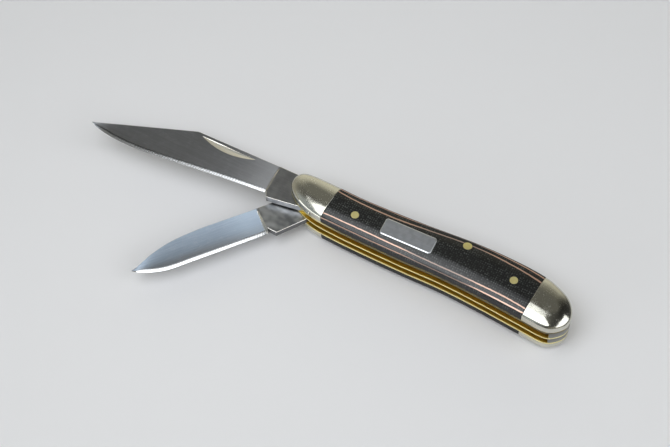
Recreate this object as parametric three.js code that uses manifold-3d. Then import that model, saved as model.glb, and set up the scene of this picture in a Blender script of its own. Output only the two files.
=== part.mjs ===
// Folding pocket knife: a small jack with a clip blade and a pen blade on one pivot, each in its own
// well between brass liners, each held by its own back spring, with domed bolsters and scales outside.
//
// Millimetres. The origin is the pivot axis on the plane the knife lies on. +X runs along the handle
// to the butt, +Y to the back (the springs), +Z up through the stack to the mark side.
// A blade is drawn pointing to -X with its back up (+Y), about its own pivot, then turned in place.

import * as THREE from 'three';
import { mergeVertices } from 'three/addons/utils/BufferGeometryUtils.js';
import Module from 'manifold-3d';

const wasm = await Module();
wasm.setup();

// Stack, from the face the knife lies on upwards.
const coverHeight = 3.05;
const coverWallHeight = 1.5;
const linerThickness = 0.6;
const centreLinerThickness = 0.5;
const penBladeThickness = 1.8;
const clipBladeThickness = 1.9;
const bladeSideClearance = 0.05;
const landShare = 0.35;

// Handle in plan. Its curves are drawn in shares: along it of the reach from the pivot to the nose or
// the butt, across it of its depth. The butt's own points count from its rear-most line, in depths.
const handleLength = 72.8;
const handleDepth = 11.9;
const noseReach = 6.3;
const frontBolsterLength = 11.1;
const rearBolsterLength = 9.9;
const jointGap = 0.04;
const noseCurve = [
  [-0.937, 0.004], [-1, 0.118], [-0.984, 0.244], [-0.857, 0.353], [-0.587, 0.408],
];
const backCurve = [
  [-0.079, 0.441], [0.069, 0.462], [0.15, 0.479], [0.271, 0.542], [0.421, 0.643], [0.496, 0.706],
  [0.571, 0.765], [0.647, 0.807], [0.722, 0.83], [0.797, 0.836], [0.865, 0.811],
];
const buttCurve = [
  [-0.496, 0.744], [-0.269, 0.647], [-0.109, 0.504], [-0.025, 0.336], [-0.004, 0.202], [-0.038, 0.084],
  [-0.147, -0.05], [-0.252, -0.13], [-0.387, -0.16],
];
const bellyCurve = [
  [0.851, -0.16], [0.692, -0.155], [0.541, -0.176], [0.391, -0.248], [0.241, -0.303], [0.12, -0.332],
  [0.03, -0.319], [-0.413, -0.21],
];
const outlineSteps = 132;
const domeSteps = 6;

// Pins.
const pinSides = 20;
const pinClearance = 0.05;
const pivotPinRadius = 1;
const springPinRadius = 1.05;
const scalePinRadius = 1.05;
const middlePinAlong = 0.567;
const middlePinAcross = 0.588;
const rearPinInset = 6.1;
const rearPinAcross = 0.571;
const frontScalePinInset = 6.75;
const frontScalePinAcross = 0.034;
const rearScalePinInset = 5.6;
const rearScalePinAcross = 0.387;

// Tang: three flats that the spring can face, on a round cam that passes under it.
const tangFlat = 2.3;
const tangRound = 2.55;
const springRunningGap = 0.05;
const camSteps = 30;
const closedFlatReach = 1.3;
const kickGap = 0.05;

// Back springs. Each one's tip stands off the shoulder of its blade's tang, both cut at one rake.
const springTipReach = 3.8;
const tipClearance = 0.4;
const tipRake = 0.5;
const springPadEnd = 3.2;
const springPadRamp = 2;
const springFaceAtKick = 3.1;
const springInnerCurve = [[0.18, 0.265], [0.376, 0.336], [0.571, 0.412], [0.752, 0.45], [0.857, 0.42]];
const wellEndReach = 3.1;
const wellEndRadius = 4.5;

// Shield let into the mark scale.
const shieldLength = 13;
const shieldWidth = 4.4;
const shieldCorner = 0.7;
const shieldThickness = 0.6;
const shieldBevel = 0.15;
const shieldClearance = 0.06;
const shieldAlong = 0.387;
const shieldAcross = 0.176;
const shieldTurn = 5.5;
const shieldCornerSteps = 6;

// Blades: how far each turns from the line of the handle when open, and where it stands now. A closed
// blade's tip keeps its room to the end of the well, and the pen's reach is a share of the clip's.
const openTurn = 3.9;
const penTurnNow = 54.4;
const tipRoom = 5;
const penReachShare = 0.769;
const clipBladeDepth = 11;
const clipStart = 0.48;
const penBladeDepth = 7.2;

// Grind that both blades share, with the number of sections along the plunge and the rest of it.
const edgeHalfThickness = 0.03;
const bevelWidth = 0.93;
const bevelHalfThickness = 0.22;
const backChamfer = 0.14;
const tipTaper = 0.4;
const plungeLength = 1.5;
const faceStep = 0.01;
const leastTipHeight = 0.05;
const nickDrop = 1.6;
const nickDepth = 0.42;
const nickWheelWidth = 3;
const nickWheelSides = 220;
const plungeSteps = 5;
const grindSteps = 26;
const curveSteps = 40;

const degrees = Math.PI / 180;
const buttX = handleLength - noseReach;
const frontJointX = frontBolsterLength - noseReach;
const rearJointX = buttX - rearBolsterLength;
const wellEnd = buttX - wellEndReach;
const shoulderReach = springTipReach + tipClearance;
const domeHeight = coverHeight - coverWallHeight;
const reach = 200;
const overcut = 1;

const pivotPlace = [0, 0];
const middlePinPlace = [buttX * middlePinAlong, handleDepth * middlePinAcross];
const rearPinPlace = [buttX - rearPinInset, handleDepth * rearPinAcross];
const frontScalePinPlace = [frontJointX + frontScalePinInset, handleDepth * frontScalePinAcross];
const rearScalePinPlace = [rearJointX - rearScalePinInset, handleDepth * rearScalePinAcross];
const shieldX = THREE.MathUtils.lerp(frontJointX, rearJointX, shieldAlong);
const shieldPlace = [shieldX, handleDepth * shieldAcross];

// Levels of the stack.
const pileCover = [0, coverHeight];
const pileLiner = [pileCover[1], pileCover[1] + linerThickness];
const penWell = [pileLiner[1], pileLiner[1] + penBladeThickness + 2 * bladeSideClearance];
const centreLiner = [penWell[1], penWell[1] + centreLinerThickness];
const clipWell = [centreLiner[1], centreLiner[1] + clipBladeThickness + 2 * bladeSideClearance];
const markLiner = [clipWell[1], clipWell[1] + linerThickness];
const markCover = [markLiner[1], markLiner[1] + coverHeight];
const stackHeight = markCover[1];

// A point of the plan, from its shares.
function onHandle([along, across]) {
  return [along * (along < 0 ? noseReach : buttX), across * handleDepth];
}

function smoothCurve(points) {
  const curve = new THREE.SplineCurve(points.map(([x, y]) => new THREE.Vector2(x, y)));
  return curve.getPoints(curveSteps).map((point) => [point.x, point.y]);
}

// A blade in millimetres about its pivot, from its shares.
function drawnBlade({ thickness, depth, reach, kick, plungeReach, plunge, back, corners, edge, nick }) {
  const foot = -noseReach - plungeReach;
  const onBlade = ([along, across]) => [THREE.MathUtils.lerp(foot, -reach, along), across * depth];
  const [from, top] = onBlade([nick.from, nick.top]);
  const [to] = onBlade([nick.to, nick.top]);
  return {
    thickness,
    kick: [-noseReach - kick[0], kick[1]],
    plungeTop: onBlade(plunge[0]),
    plungeFoot: onBlade(plunge[1]),
    back: back.map(onBlade),
    corners: corners.map((along) => onBlade([along, 0])[0]),
    edge: edge.map(onBlade),
    nick: { middle: (from + to) / 2, halfLength: (from - to) / 2, top, side: nick.side },
  };
}

function solidOf(geometry) {
  const bare = geometry.clone();
  bare.deleteAttribute('normal');
  bare.deleteAttribute('uv');
  const merged = mergeVertices(bare, 1e-5);
  const vertProperties = new Float32Array(merged.attributes.position.array);
  const triVerts = new Uint32Array(merged.index.array);
  return new wasm.Manifold(new wasm.Mesh({ numProp: 3, vertProperties, triVerts }));
}

function geometryOf(solid) {
  const mesh = solid.getMesh();
  const geometry = new THREE.BufferGeometry();
  geometry.setAttribute('position', new THREE.BufferAttribute(mesh.vertProperties, 3));
  geometry.setIndex(new THREE.BufferAttribute(mesh.triVerts, 1));
  geometry.computeVertexNormals();
  return geometry;
}

function shapeThrough(points) {
  return new THREE.Shape(points.map(([x, y]) => new THREE.Vector2(x, y)));
}

function prism(shape, [low, high]) {
  const geometry = new THREE.ExtrudeGeometry(shape, { depth: high - low, bevelEnabled: false });
  geometry.translate(0, 0, low);
  return solidOf(geometry);
}

function rod(radius, [low, high], [x, y]) {
  const geometry = new THREE.CylinderGeometry(radius, radius, high - low, pinSides);
  geometry.rotateX(Math.PI / 2);
  geometry.translate(x, y, (low + high) / 2);
  return solidOf(geometry);
}

function slab([left, right], [low, high]) {
  const geometry = new THREE.BoxGeometry(right - left, reach, high - low);
  geometry.translate((left + right) / 2, 0, (low + high) / 2);
  return solidOf(geometry);
}

function past([low, high]) {
  return [low - overcut, high + overcut];
}

// Closed loops of points stacked into one solid, its ends filled flat. `flatten` looks at an end.
function loft(rings, flatten) {
  const count = rings[0].length;
  const last = (rings.length - 1) * count;
  const index = [];
  for (let ring = 0; ring + 1 < rings.length; ring++) {
    for (let i = 0; i < count; i++) {
      const a = ring * count + i;
      const b = ring * count + ((i + 1) % count);
      index.push(a, b, b + count, a, b + count, a + count);
    }
  }
  const firstEnd = THREE.ShapeUtils.triangulateShape(rings[0].map(flatten), []);
  const lastEnd = THREE.ShapeUtils.triangulateShape(rings[rings.length - 1].map(flatten), []);
  firstEnd.forEach(([a, b, c]) => index.push(c, b, a));
  lastEnd.forEach(([a, b, c]) => index.push(last + a, last + b, last + c));
  const geometry = new THREE.BufferGeometry().setFromPoints(rings.flat());
  geometry.setIndex(index);
  return solidOf(geometry);
}

// A blade's kick and plunge stand off the nose, and its curves are drawn in shares: along it of the
// ground part from the plunge's foot to the tip, across it of its depth.
const clipBlade = drawnBlade({
  thickness: clipBladeThickness,
  depth: clipBladeDepth,
  reach: wellEnd - tipRoom,
  kick: [4.05, -3.85],
  plungeReach: 4.8,
  plunge: [[0.006, 0.459], [0, -0.2]],
  back: [[-0.023, 0.459], [clipStart, 0.436], [1, -0.409]],
  corners: [clipStart],
  edge: smoothCurve([
    [0, -0.2], [0.019, -0.223], [0.23, -0.314], [0.482, -0.445], [0.632, -0.523], [0.748, -0.555],
    [0.865, -0.545], [0.96, -0.477], [1, -0.418],
  ]),
  nick: { from: 0.138, to: 0.461, top: 0.37, side: 1 },
});
const penBlade = drawnBlade({
  thickness: penBladeThickness,
  depth: penBladeDepth,
  reach: (wellEnd - tipRoom) * penReachShare,
  kick: [4.1, -3],
  plungeReach: 5.7,
  plunge: [[-0.003, 0.688], [0, -0.125]],
  back: smoothCurve([
    [-0.061, 0.681], [0.243, 0.701], [0.456, 0.708], [0.66, 0.639], [0.815, 0.465], [0.942, 0.222],
    [1, 0.118],
  ]),
  corners: [],
  edge: smoothCurve([
    [0, -0.125], [0.021, -0.278], [0.243, -0.292], [0.547, -0.292], [0.745, -0.285], [0.863, -0.181],
    [0.951, -0.014], [1, 0.111],
  ]),
  nick: { from: 0.106, to: 0.471, top: 0.583, side: -1 },
});

// The outline that every layer of the handle shares, counter-clockwise from the belly of the nose.
function handleOutline() {
  const butt = buttCurve.map(([x, y]) => [buttX + x * handleDepth, y * handleDepth]);
  const front = [...noseCurve, ...backCurve].map(onHandle);
  const clockwise = [...front, ...butt, ...bellyCurve.map(onHandle)];
  const points = clockwise.reverse().map(([x, y]) => new THREE.Vector3(x, y, 0));
  const curve = new THREE.CatmullRomCurve3(points, true, 'centripetal');
  return curve.getSpacedPoints(outlineSteps).slice(0, -1);
}

const outline = handleOutline();
const outlineShape = new THREE.Shape(outline.map((point) => new THREE.Vector2(point.x, point.y)));

function crossings(x) {
  const heights = [];
  outline.forEach((a, i) => {
    const b = outline[(i + 1) % outline.length];
    if ((a.x <= x) !== (b.x <= x)) heights.push(a.y + ((x - a.x) / (b.x - a.x)) * (b.y - a.y));
  });
  return heights;
}

// The ridge of the domes runs down the middle of the handle and stops short of both ends.
function ridgePoint(point) {
  const first = frontJointX - frontBolsterLength / 2;
  const last = rearJointX + rearBolsterLength / 2;
  const x = THREE.MathUtils.clamp(point.x, first, last);
  const heights = crossings(x);
  return new THREE.Vector3(x, (Math.max(...heights) + Math.min(...heights)) / 2, 0);
}

// One solid of the whole handle's outside: a flat land, a dome, the walls, a dome and a land again.
function handleEnvelope() {
  const feet = outline.map(ridgePoint);
  const landAngle = Math.acos(landShare);
  const angle = (step) => (step / domeSteps) * landAngle;
  const rise = (step) => (domeHeight * Math.sin(angle(step))) / Math.sin(landAngle);
  const ring = (step, level) => outline.map((point, i) => {
    const placed = feet[i].clone().lerp(point, Math.cos(angle(step)));
    return placed.setZ(level);
  });
  const rings = [];
  for (let step = domeSteps; step >= 0; step--) rings.push(ring(step, domeHeight - rise(step)));
  for (let step = 0; step <= domeSteps; step++) {
    rings.push(ring(step, stackHeight - domeHeight + rise(step)));
  }
  return loft(rings, (point) => new THREE.Vector2(point.x, point.y));
}

const envelope = handleEnvelope();

const throughPins = [
  [pivotPinRadius, pivotPlace],
  [springPinRadius, middlePinPlace],
  [springPinRadius, rearPinPlace],
];
const springPins = throughPins.slice(1);
const coverPins = [
  [scalePinRadius, frontScalePinPlace],
  [scalePinRadius, rearScalePinPlace],
];

function drilled(solid, levels, pins) {
  const holes = pins.map(([radius, place]) => rod(radius + pinClearance, past(levels), place));
  return holes.reduce((piece, hole) => piece.subtract(hole), solid);
}

function cover(span, levels) {
  const piece = envelope.intersect(slab(span, levels));
  return drilled(piece, levels, [...throughPins, ...coverPins]);
}

function frontBolster(levels) {
  return cover([-reach, frontJointX - jointGap / 2], levels);
}

function rearBolster(levels) {
  return cover([rearJointX + jointGap / 2, reach], levels);
}

function scale(levels) {
  return cover([frontJointX + jointGap / 2, rearJointX - jointGap / 2], levels);
}

function shieldShape(margin) {
  const corner = shieldCorner + margin;
  const x = shieldLength / 2 - shieldCorner;
  const y = shieldWidth / 2 - shieldCorner;
  const shape = new THREE.Shape();
  shape.absarc(x, -y, corner, -Math.PI / 2, 0);
  shape.absarc(x, y, corner, 0, Math.PI / 2);
  shape.absarc(-x, y, corner, Math.PI / 2, Math.PI);
  shape.absarc(-x, -y, corner, Math.PI, 1.5 * Math.PI);
  return shape;
}

function shieldRecess() {
  const cutter = new THREE.ExtrudeGeometry(shieldShape(shieldClearance), {
    depth: shieldThickness + overcut,
    bevelEnabled: false,
    curveSegments: shieldCornerSteps,
  });
  cutter.rotateZ(shieldTurn * degrees);
  cutter.translate(...shieldPlace, stackHeight - shieldThickness);
  return solidOf(cutter);
}

function shieldPlate() {
  const plate = new THREE.ExtrudeGeometry(shieldShape(-shieldBevel), {
    depth: shieldThickness - 2 * shieldBevel,
    bevelThickness: shieldBevel,
    bevelSize: shieldBevel,
    bevelSegments: 2,
    curveSegments: shieldCornerSteps,
  });
  plate.translate(0, 0, shieldBevel);
  return plate;
}

function liner(levels, pins) {
  return drilled(prism(outlineShape, levels), levels, pins);
}

// A spring is the strip of the handle's outline left over the blade's well: a tip over the tang, the
// long bar with its pin, and a foot that turns down round the butt and closes the well.
function backSpring(levels) {
  const face = tangRound + springRunningGap;
  const padEnd = springPadEnd + springPadRamp;
  const inner = springInnerCurve.map(onHandle);
  const wellTop = inner[inner.length - 1][1];
  const wellSide = wellTop - wellEndRadius;
  const space = new THREE.Shape();
  space.moveTo(-springTipReach - tipRake, reach);
  space.lineTo(-springTipReach, face);
  space.lineTo(springPadEnd, face);
  space.lineTo(padEnd, springFaceAtKick);
  space.splineThru(inner.map(([x, y]) => new THREE.Vector2(x, y)));
  space.bezierCurveTo(
    wellEnd - wellEndRadius / 3, wellTop,
    wellEnd, wellTop - wellEndRadius / 2,
    wellEnd, wellSide,
  );
  space.lineTo(wellEnd, -reach);
  space.lineTo(-reach, -reach);
  space.lineTo(-reach, reach);
  const bar = prism(outlineShape, levels).subtract(prism(space, past(levels)));
  return drilled(bar, levels, springPins);
}

// Radius of the tang's cam at an angle: the round, cut by the flats that the spring can face.
function camRadius(angle, flats) {
  return flats.reduce((radius, normal) => {
    const along = Math.cos(angle - normal);
    return along > 0 ? Math.min(radius, tangFlat / along) : radius;
  }, tangRound);
}

// How far a blade turns before its kick comes to rest just under its spring.
function closedTurn({ kick }) {
  const kickAngle = Math.atan2(-kick[1], -kick[0]);
  const restAngle = Math.asin((springFaceAtKick - kickGap) / Math.hypot(...kick));
  return Math.PI + restAngle - kickAngle;
}

function tangShape(blade) {
  const up = Math.PI / 2 - openTurn * degrees;
  const down = Math.PI / 2 - closedTurn(blade);
  const along = (normal, distance) => [
    tangFlat * Math.cos(normal) - distance * Math.sin(normal),
    tangFlat * Math.sin(normal) + distance * Math.cos(normal),
  ];
  const flats = [up, up - Math.PI / 2, down];
  const shoulder = along(up, shoulderReach);
  const points = [[shoulder[0] - tipRake, blade.back[0][1]], shoulder];
  for (let step = 0; step <= camSteps; step++) {
    const angle = THREE.MathUtils.lerp(up, down, step / camSteps);
    const radius = camRadius(angle, flats);
    points.push([radius * Math.cos(angle), radius * Math.sin(angle)]);
  }
  points.push(along(down, -closedFlatReach), blade.kick, blade.plungeFoot, blade.plungeTop);
  return shapeThrough(points.reverse());
}

function heightOn(curve, x) {
  const end = curve.findIndex(([pointX]) => pointX <= x);
  if (end < 0) return curve[curve.length - 1][1];
  if (end === 0) return curve[0][1];
  const [x0, y0] = curve[end - 1];
  const [x1, y1] = curve[end];
  return y0 + ((x - x0) / (x1 - x0)) * (y1 - y0);
}

// The main points of one section across the ground part, `y` up the blade and `z` half the thickness.
function grindAt(blade, x) {
  const start = blade.plungeFoot[0];
  const tip = blade.back[blade.back.length - 1][0];
  const top = heightOn(blade.back, x);
  const bottom = Math.min(heightOn(blade.edge, x), top - leastTipHeight);
  const toTip = THREE.MathUtils.clamp((x - start) / (tip - start), 0, 1);
  const ground = THREE.MathUtils.smoothstep(start - x, 0, plungeLength);
  const half = (blade.thickness / 2 - faceStep) * THREE.MathUtils.lerp(1, tipTaper, toTip ** 2);
  const chamfer = Math.min(backChamfer, (top - bottom) / 6);
  return {
    back: { y: top, z: half - chamfer },
    face: { y: top - chamfer, z: half },
    shoulder: {
      y: bottom + Math.min(bevelWidth, (top - bottom) / 3),
      z: THREE.MathUtils.lerp(half, Math.min(bevelHalfThickness, half * 0.8), ground),
    },
    edge: { y: bottom, z: THREE.MathUtils.lerp(half, edgeHalfThickness, ground) },
  };
}

// The ground part: sections from the plunge to the tip, thick at the back, thin at the shoulder of
// the edge bevel, with the faces running out into the tang over the plunge.
function groundBlade(blade) {
  const start = blade.plungeFoot[0];
  const tip = blade.back[blade.back.length - 1][0];
  const stations = new Set([start + plungeLength / 2]);
  for (let step = 0; step <= plungeSteps; step++) stations.add(start - (plungeLength * step) / plungeSteps);
  for (let step = 1; step <= grindSteps; step++) {
    const share = Math.sin((step / grindSteps) * (Math.PI / 2));
    stations.add(THREE.MathUtils.lerp(start - plungeLength, tip, share));
  }
  blade.corners.forEach((x) => stations.add(x));
  const ordered = [...stations].sort((a, b) => b - a);
  const rings = ordered.map((x) => {
    const { back, face, shoulder, edge } = grindAt(blade, x);
    const near = [back, face, shoulder, edge].map(({ y, z }) => new THREE.Vector3(x, y, -z));
    const far = [edge, shoulder, face, back].map(({ y, z }) => new THREE.Vector3(x, y, z));
    return [...near, ...far];
  });
  return loft(rings, (point) => new THREE.Vector2(point.z, point.y));
}

// The wheel that cuts a nail nick: its flat face makes the steep wall, and its cone runs out of the
// blade's sloping face at the nick's drop.
function nickWheel(blade) {
  const { middle, halfLength, top, side } = blade.nick;
  const { face, shoulder } = grindAt(blade, middle);
  const slope = (face.z - shoulder.z) / (face.y - shoulder.y);
  const surface = face.z - slope * (face.y - top);
  const radius = (halfLength ** 2 + nickDepth ** 2) / (2 * nickDepth);
  const cone = (nickDepth / nickDrop - slope) * nickWheelWidth;
  const profile = [[0, -nickWheelWidth], [radius - cone, -nickWheelWidth], [radius, 0], [0, 0]];
  const wheel = new THREE.LatheGeometry(profile.map(([x, y]) => new THREE.Vector2(x, y)), nickWheelSides);
  wheel.translate(middle, top, side * (surface + radius - nickDepth));
  return solidOf(wheel);
}

function bladeSolid(blade) {
  const levels = [-blade.thickness / 2, blade.thickness / 2];
  const tang = prism(tangShape(blade), levels);
  const hole = rod(pivotPinRadius + pinClearance, past(levels), pivotPlace);
  return tang.add(groundBlade(blade)).subtract(hole).subtract(nickWheel(blade));
}

function pin(radius, [low, high], place) {
  return rod(radius, [low, high], place).intersect(envelope);
}

const finishes = {
  nickelSilver: { color: 0xc9c5b4, roughness: 0.22, metalness: 1 },
  laminate: { color: 0x1d1e20, roughness: 0.55, metalness: 0 },
  brass: { color: 0xc9a646, roughness: 0.3, metalness: 1 },
  satinSteel: { color: 0x9a9da3, roughness: 0.35, metalness: 1 },
  springSteel: { color: 0x8f9194, roughness: 0.4, metalness: 1 },
};

const knife = new THREE.Group();

function place(name, geometry, finish) {
  const mesh = new THREE.Mesh(geometry, new THREE.MeshStandardMaterial(finish));
  mesh.name = name;
  knife.add(mesh);
  return mesh;
}

function placeBlade(name, blade, levels, turn) {
  const mesh = place(name, geometryOf(bladeSolid(blade)), finishes.satinSteel);
  mesh.position.z = (levels[0] + levels[1]) / 2;
  mesh.rotation.z = turn * degrees;
}

function placeShield() {
  const mesh = place('shield', shieldPlate(), finishes.nickelSilver);
  mesh.position.set(...shieldPlace, stackHeight - shieldThickness);
  mesh.rotation.z = shieldTurn * degrees;
}

const sides = [
  { name: 'mark', covers: markCover, liner: markLiner, scale: scale(markCover).subtract(shieldRecess()) },
  { name: 'pile', covers: pileCover, liner: pileLiner, scale: scale(pileCover) },
];
sides.forEach((side) => {
  const pinLevels = [Math.min(side.covers[0], side.liner[0]), Math.max(side.covers[1], side.liner[1])];
  place(`front_bolster_${side.name}`, geometryOf(frontBolster(side.covers)), finishes.nickelSilver);
  place(`rear_bolster_${side.name}`, geometryOf(rearBolster(side.covers)), finishes.nickelSilver);
  place(`scale_${side.name}`, geometryOf(side.scale), finishes.laminate);
  place(`liner_${side.name}`, geometryOf(liner(side.liner, [...throughPins, ...coverPins])), finishes.brass);
  const front = pin(scalePinRadius, pinLevels, frontScalePinPlace);
  const rear = pin(scalePinRadius, pinLevels, rearScalePinPlace);
  place(`front_scale_pin_${side.name}`, geometryOf(front), finishes.brass);
  place(`rear_scale_pin_${side.name}`, geometryOf(rear), finishes.brass);
});

place('liner_centre', geometryOf(liner(centreLiner, throughPins)), finishes.brass);
place('clip_spring', geometryOf(backSpring(clipWell)), finishes.springSteel);
place('pen_spring', geometryOf(backSpring(penWell)), finishes.springSteel);
placeBlade('clip_blade', clipBlade, clipWell, openTurn);
placeBlade('pen_blade', penBlade, penWell, penTurnNow);
placeShield();

const wholeStack = past([0, stackHeight]);
place('pivot_pin', geometryOf(pin(pivotPinRadius, wholeStack, pivotPlace)), finishes.nickelSilver);
place('middle_spring_pin', geometryOf(pin(springPinRadius, wholeStack, middlePinPlace)), finishes.brass);
place('rear_spring_pin', geometryOf(pin(springPinRadius, wholeStack, rearPinPlace)), finishes.nickelSilver);

export default knife;
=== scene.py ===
"""Folding pocket knife: finely made pieces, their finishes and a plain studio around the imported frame.

Shapes are worked out in millimetres, in the frame's own axes, and turned into metres when a piece is done.
+X runs along the handle to the butt, +Y to the back, +Z up to the mark side. The pivot stands at the origin.
"""
import math

import bmesh
import bpy
import numpy as np
from bpy.props import FloatProperty, FloatVectorProperty, PointerProperty
from bpy.types import Operator, Panel, PropertyGroup
from mathutils import Matrix, Vector


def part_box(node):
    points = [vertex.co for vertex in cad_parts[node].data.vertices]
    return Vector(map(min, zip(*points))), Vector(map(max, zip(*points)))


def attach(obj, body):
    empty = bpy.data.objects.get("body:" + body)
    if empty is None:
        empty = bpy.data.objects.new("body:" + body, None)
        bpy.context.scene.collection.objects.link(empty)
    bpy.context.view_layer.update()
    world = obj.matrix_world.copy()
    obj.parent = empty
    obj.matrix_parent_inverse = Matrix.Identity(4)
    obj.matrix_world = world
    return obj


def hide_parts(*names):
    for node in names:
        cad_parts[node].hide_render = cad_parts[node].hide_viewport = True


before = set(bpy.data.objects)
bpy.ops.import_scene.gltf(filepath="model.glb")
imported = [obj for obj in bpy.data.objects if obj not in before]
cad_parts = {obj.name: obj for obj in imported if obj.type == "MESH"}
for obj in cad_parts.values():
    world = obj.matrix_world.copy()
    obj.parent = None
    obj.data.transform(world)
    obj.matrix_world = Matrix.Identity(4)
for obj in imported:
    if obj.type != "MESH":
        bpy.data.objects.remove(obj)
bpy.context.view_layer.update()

bl_info = {
    "name": "Folding pocket knife",
    "version": (1, 0, 0),
    "blender": (4, 5, 0),
    "location": "3D View > Sidebar > Knife",
    "description": "Finished pieces, materials and studio of a folding pocket knife",
    "category": "Add Mesh",
}

MM = 0.001


def levels_of(node):
    """Lowest and highest level of a frame node, in millimetres."""
    low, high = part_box(node)
    return low.z / MM, high.z / MM


# Lengths in millimetres and angles in radians; the studio's values, at the end, are in metres.

STACK_HEIGHT = levels_of("scale_mark")[1]
COVER_HEIGHT = 3.05
WALL_HEIGHT = 1.5
DOME_HEIGHT = COVER_HEIGHT - WALL_HEIGHT
LAND_SHARE = 0.35

OUTLINE_STEP = 0.1
OUTLINE_SPACING = 0.2
STATION_SPACING = 0.28
FIRST_STATION = 0.1
OUTLINE_SMOOTHING = 0.55
HANDLE_LENGTH = 72.8
HANDLE_DEPTH = 11.9
NOSE_REACH = 6.3
BUTT_X = HANDLE_LENGTH - NOSE_REACH
FRONT_JOINT = 4.8
REAR_JOINT = 56.6
JOINT_GAP = 0.04
RIDGE_FRONT = FRONT_JOINT - 5.55
RIDGE_REAR = REAR_JOINT + 4.95
NOSE_CURVE = [(-0.937, 0.004), (-1, 0.118), (-0.984, 0.244), (-0.857, 0.353), (-0.587, 0.408)]
BACK_CURVE = [
    (-0.079, 0.441), (0.069, 0.462), (0.15, 0.479), (0.271, 0.542), (0.421, 0.643), (0.496, 0.706),
    (0.571, 0.765), (0.647, 0.807), (0.722, 0.83), (0.797, 0.836), (0.865, 0.811),
]
BUTT_CURVE = [
    (-0.496, 0.744), (-0.269, 0.647), (-0.109, 0.504), (-0.025, 0.336), (-0.004, 0.202), (-0.038, 0.084),
    (-0.147, -0.05), (-0.252, -0.13), (-0.387, -0.16),
]
BELLY_CURVE = [
    (0.851, -0.16), (0.692, -0.155), (0.541, -0.176), (0.391, -0.248), (0.241, -0.303), (0.12, -0.332),
    (0.03, -0.319), (-0.413, -0.21),
]
SPRING_INNER_CURVE = [(0.18, 0.265), (0.376, 0.336), (0.571, 0.412), (0.752, 0.45), (0.857, 0.42)]

PIVOT_RADIUS = 1.0
PINS = {
    "pivot": (PIVOT_RADIUS, (0, 0)),
    "middle": (1.05, (BUTT_X * 0.567, HANDLE_DEPTH * 0.588)),
    "rear": (1.05, (BUTT_X - 6.1, HANDLE_DEPTH * 0.571)),
    "front_scale": (0.94, (FRONT_JOINT + 6.75, HANDLE_DEPTH * 0.034)),
    "rear_scale": (0.94, (REAR_JOINT - 5.6, HANDLE_DEPTH * 0.387)),
}
PIN_END_DROP = 0.2

TANG_FLAT = 2.3
TANG_ROUND = 2.55
CLOSED_FLAT_REACH = 1.3
KICK_GAP = 0.05
BORE_GAP = 0.05
SPRING_GAP = 0.05
SPRING_TIP_REACH = 3.8
TIP_CLEARANCE = 0.4
TIP_RAKE = 0.5
SPRING_PAD_END = 3.2
SPRING_PAD_RAMP = 2.0
SPRING_FACE_AT_KICK = 3.1
WELL_END = BUTT_X - 3.1
WELL_END_RADIUS = 4.5
FOOT_CORNER = 0.3

SHIELD_LENGTH = 13.0
SHIELD_WIDTH = 4.4
SHIELD_CORNER = 0.7
SHIELD_THICKNESS = 0.6
SHIELD_RIM_SLOPE = 0.42
RECESS_GAP = 0.05
SHIELD_PLACE = (FRONT_JOINT + (REAR_JOINT - FRONT_JOINT) * 0.387, HANDLE_DEPTH * 0.176, 0)
SHIELD_TURN = math.radians(5.5)
SHIELD_TURN_AND_PLACE = Matrix.Translation(SHIELD_PLACE) @ Matrix.Rotation(SHIELD_TURN, 4, "Z")

RUN_TURN = 0.058
SHEET_THICKNESS = 0.17
# Middle of the stretch where the layer lines are painted duller: painted shade.
DULL_LINES_MIDDLE = 34.5
BELLY_OUTER = [(5, 0.46), (9, 0.59), (18, 0.61), (26, 0.64), (34, 0.5), (39, 0.52), (45, 0.68), (57, 0.78)]
BELLY_INNER = [(5, 1.12), (9, 1.2), (24, 1.2), (35, 1.1), (44, 1.15), (51, 1.2), (57, 1.17)]
BACK_OUTER = [(5, 0.77), (16, 0.72), (22, 0.76), (28, 0.62), (36, 0.52), (42, 0.66), (48, 0.74), (57, 0.88)]
BACK_INNER = [(5, 1.22), (10, 1.3), (20, 1.34), (28, 1.24), (37, 1.16), (42, 1.16), (50, 1.25), (57, 1.34)]

OPEN_TURN = math.radians(3.9)
PEN_TURN = math.radians(54.4)
EDGE_HALF = 0.03
BEVEL_WIDTH = 0.93
BEVEL_HALF = 0.22
BACK_CHAMFER = 0.14
TIP_TAPER = 0.4
PLUNGE_LENGTH = 0.55
NICK_DROP = 1.6
NICK_DEPTH = 0.42
WHEEL_MARK_PITCH = 0.62
PAINTED_LIGHT_ZONE = (12, 0.5)
BEYOND_BLADE = (90, 91)
SATIN, EDGE, CUT, WALL = range(4)

FLOOR_REACH = 2.5
LAMP_TINT = (0.94, 0.97, 1, 1)
FLAP_SOFTNESS = 0.001
OVERHEAD_FLAPS = (((26.2, 0.0162), (0, 0.008)), ((-58.2, 0.2116),), ((166, 0.117),), ((187.5, 0.128),))
RIGHT_FLAPS = (((135, 0.141),),)
CAMERA_PLACE = (0.11265, -0.15783, 0.33319)
CAMERA_RIGHT = (0.8290, 0.5592, 0)
CAMERA_DOWN = (0.4843, -0.7179, -0.5)
CAMERA_ROLL = math.radians(2.177)


def colour(name, description, value):
    """A linear colour property."""
    return FloatVectorProperty(name=name, description=description, subtype="COLOR", size=3, min=0, max=1,
                               default=value)


def length(name, description, value):
    """A length property, kept in metres."""
    return FloatProperty(name=name, description=description, unit="LENGTH", default=value * MM, min=0,
                         precision=6)


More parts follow.
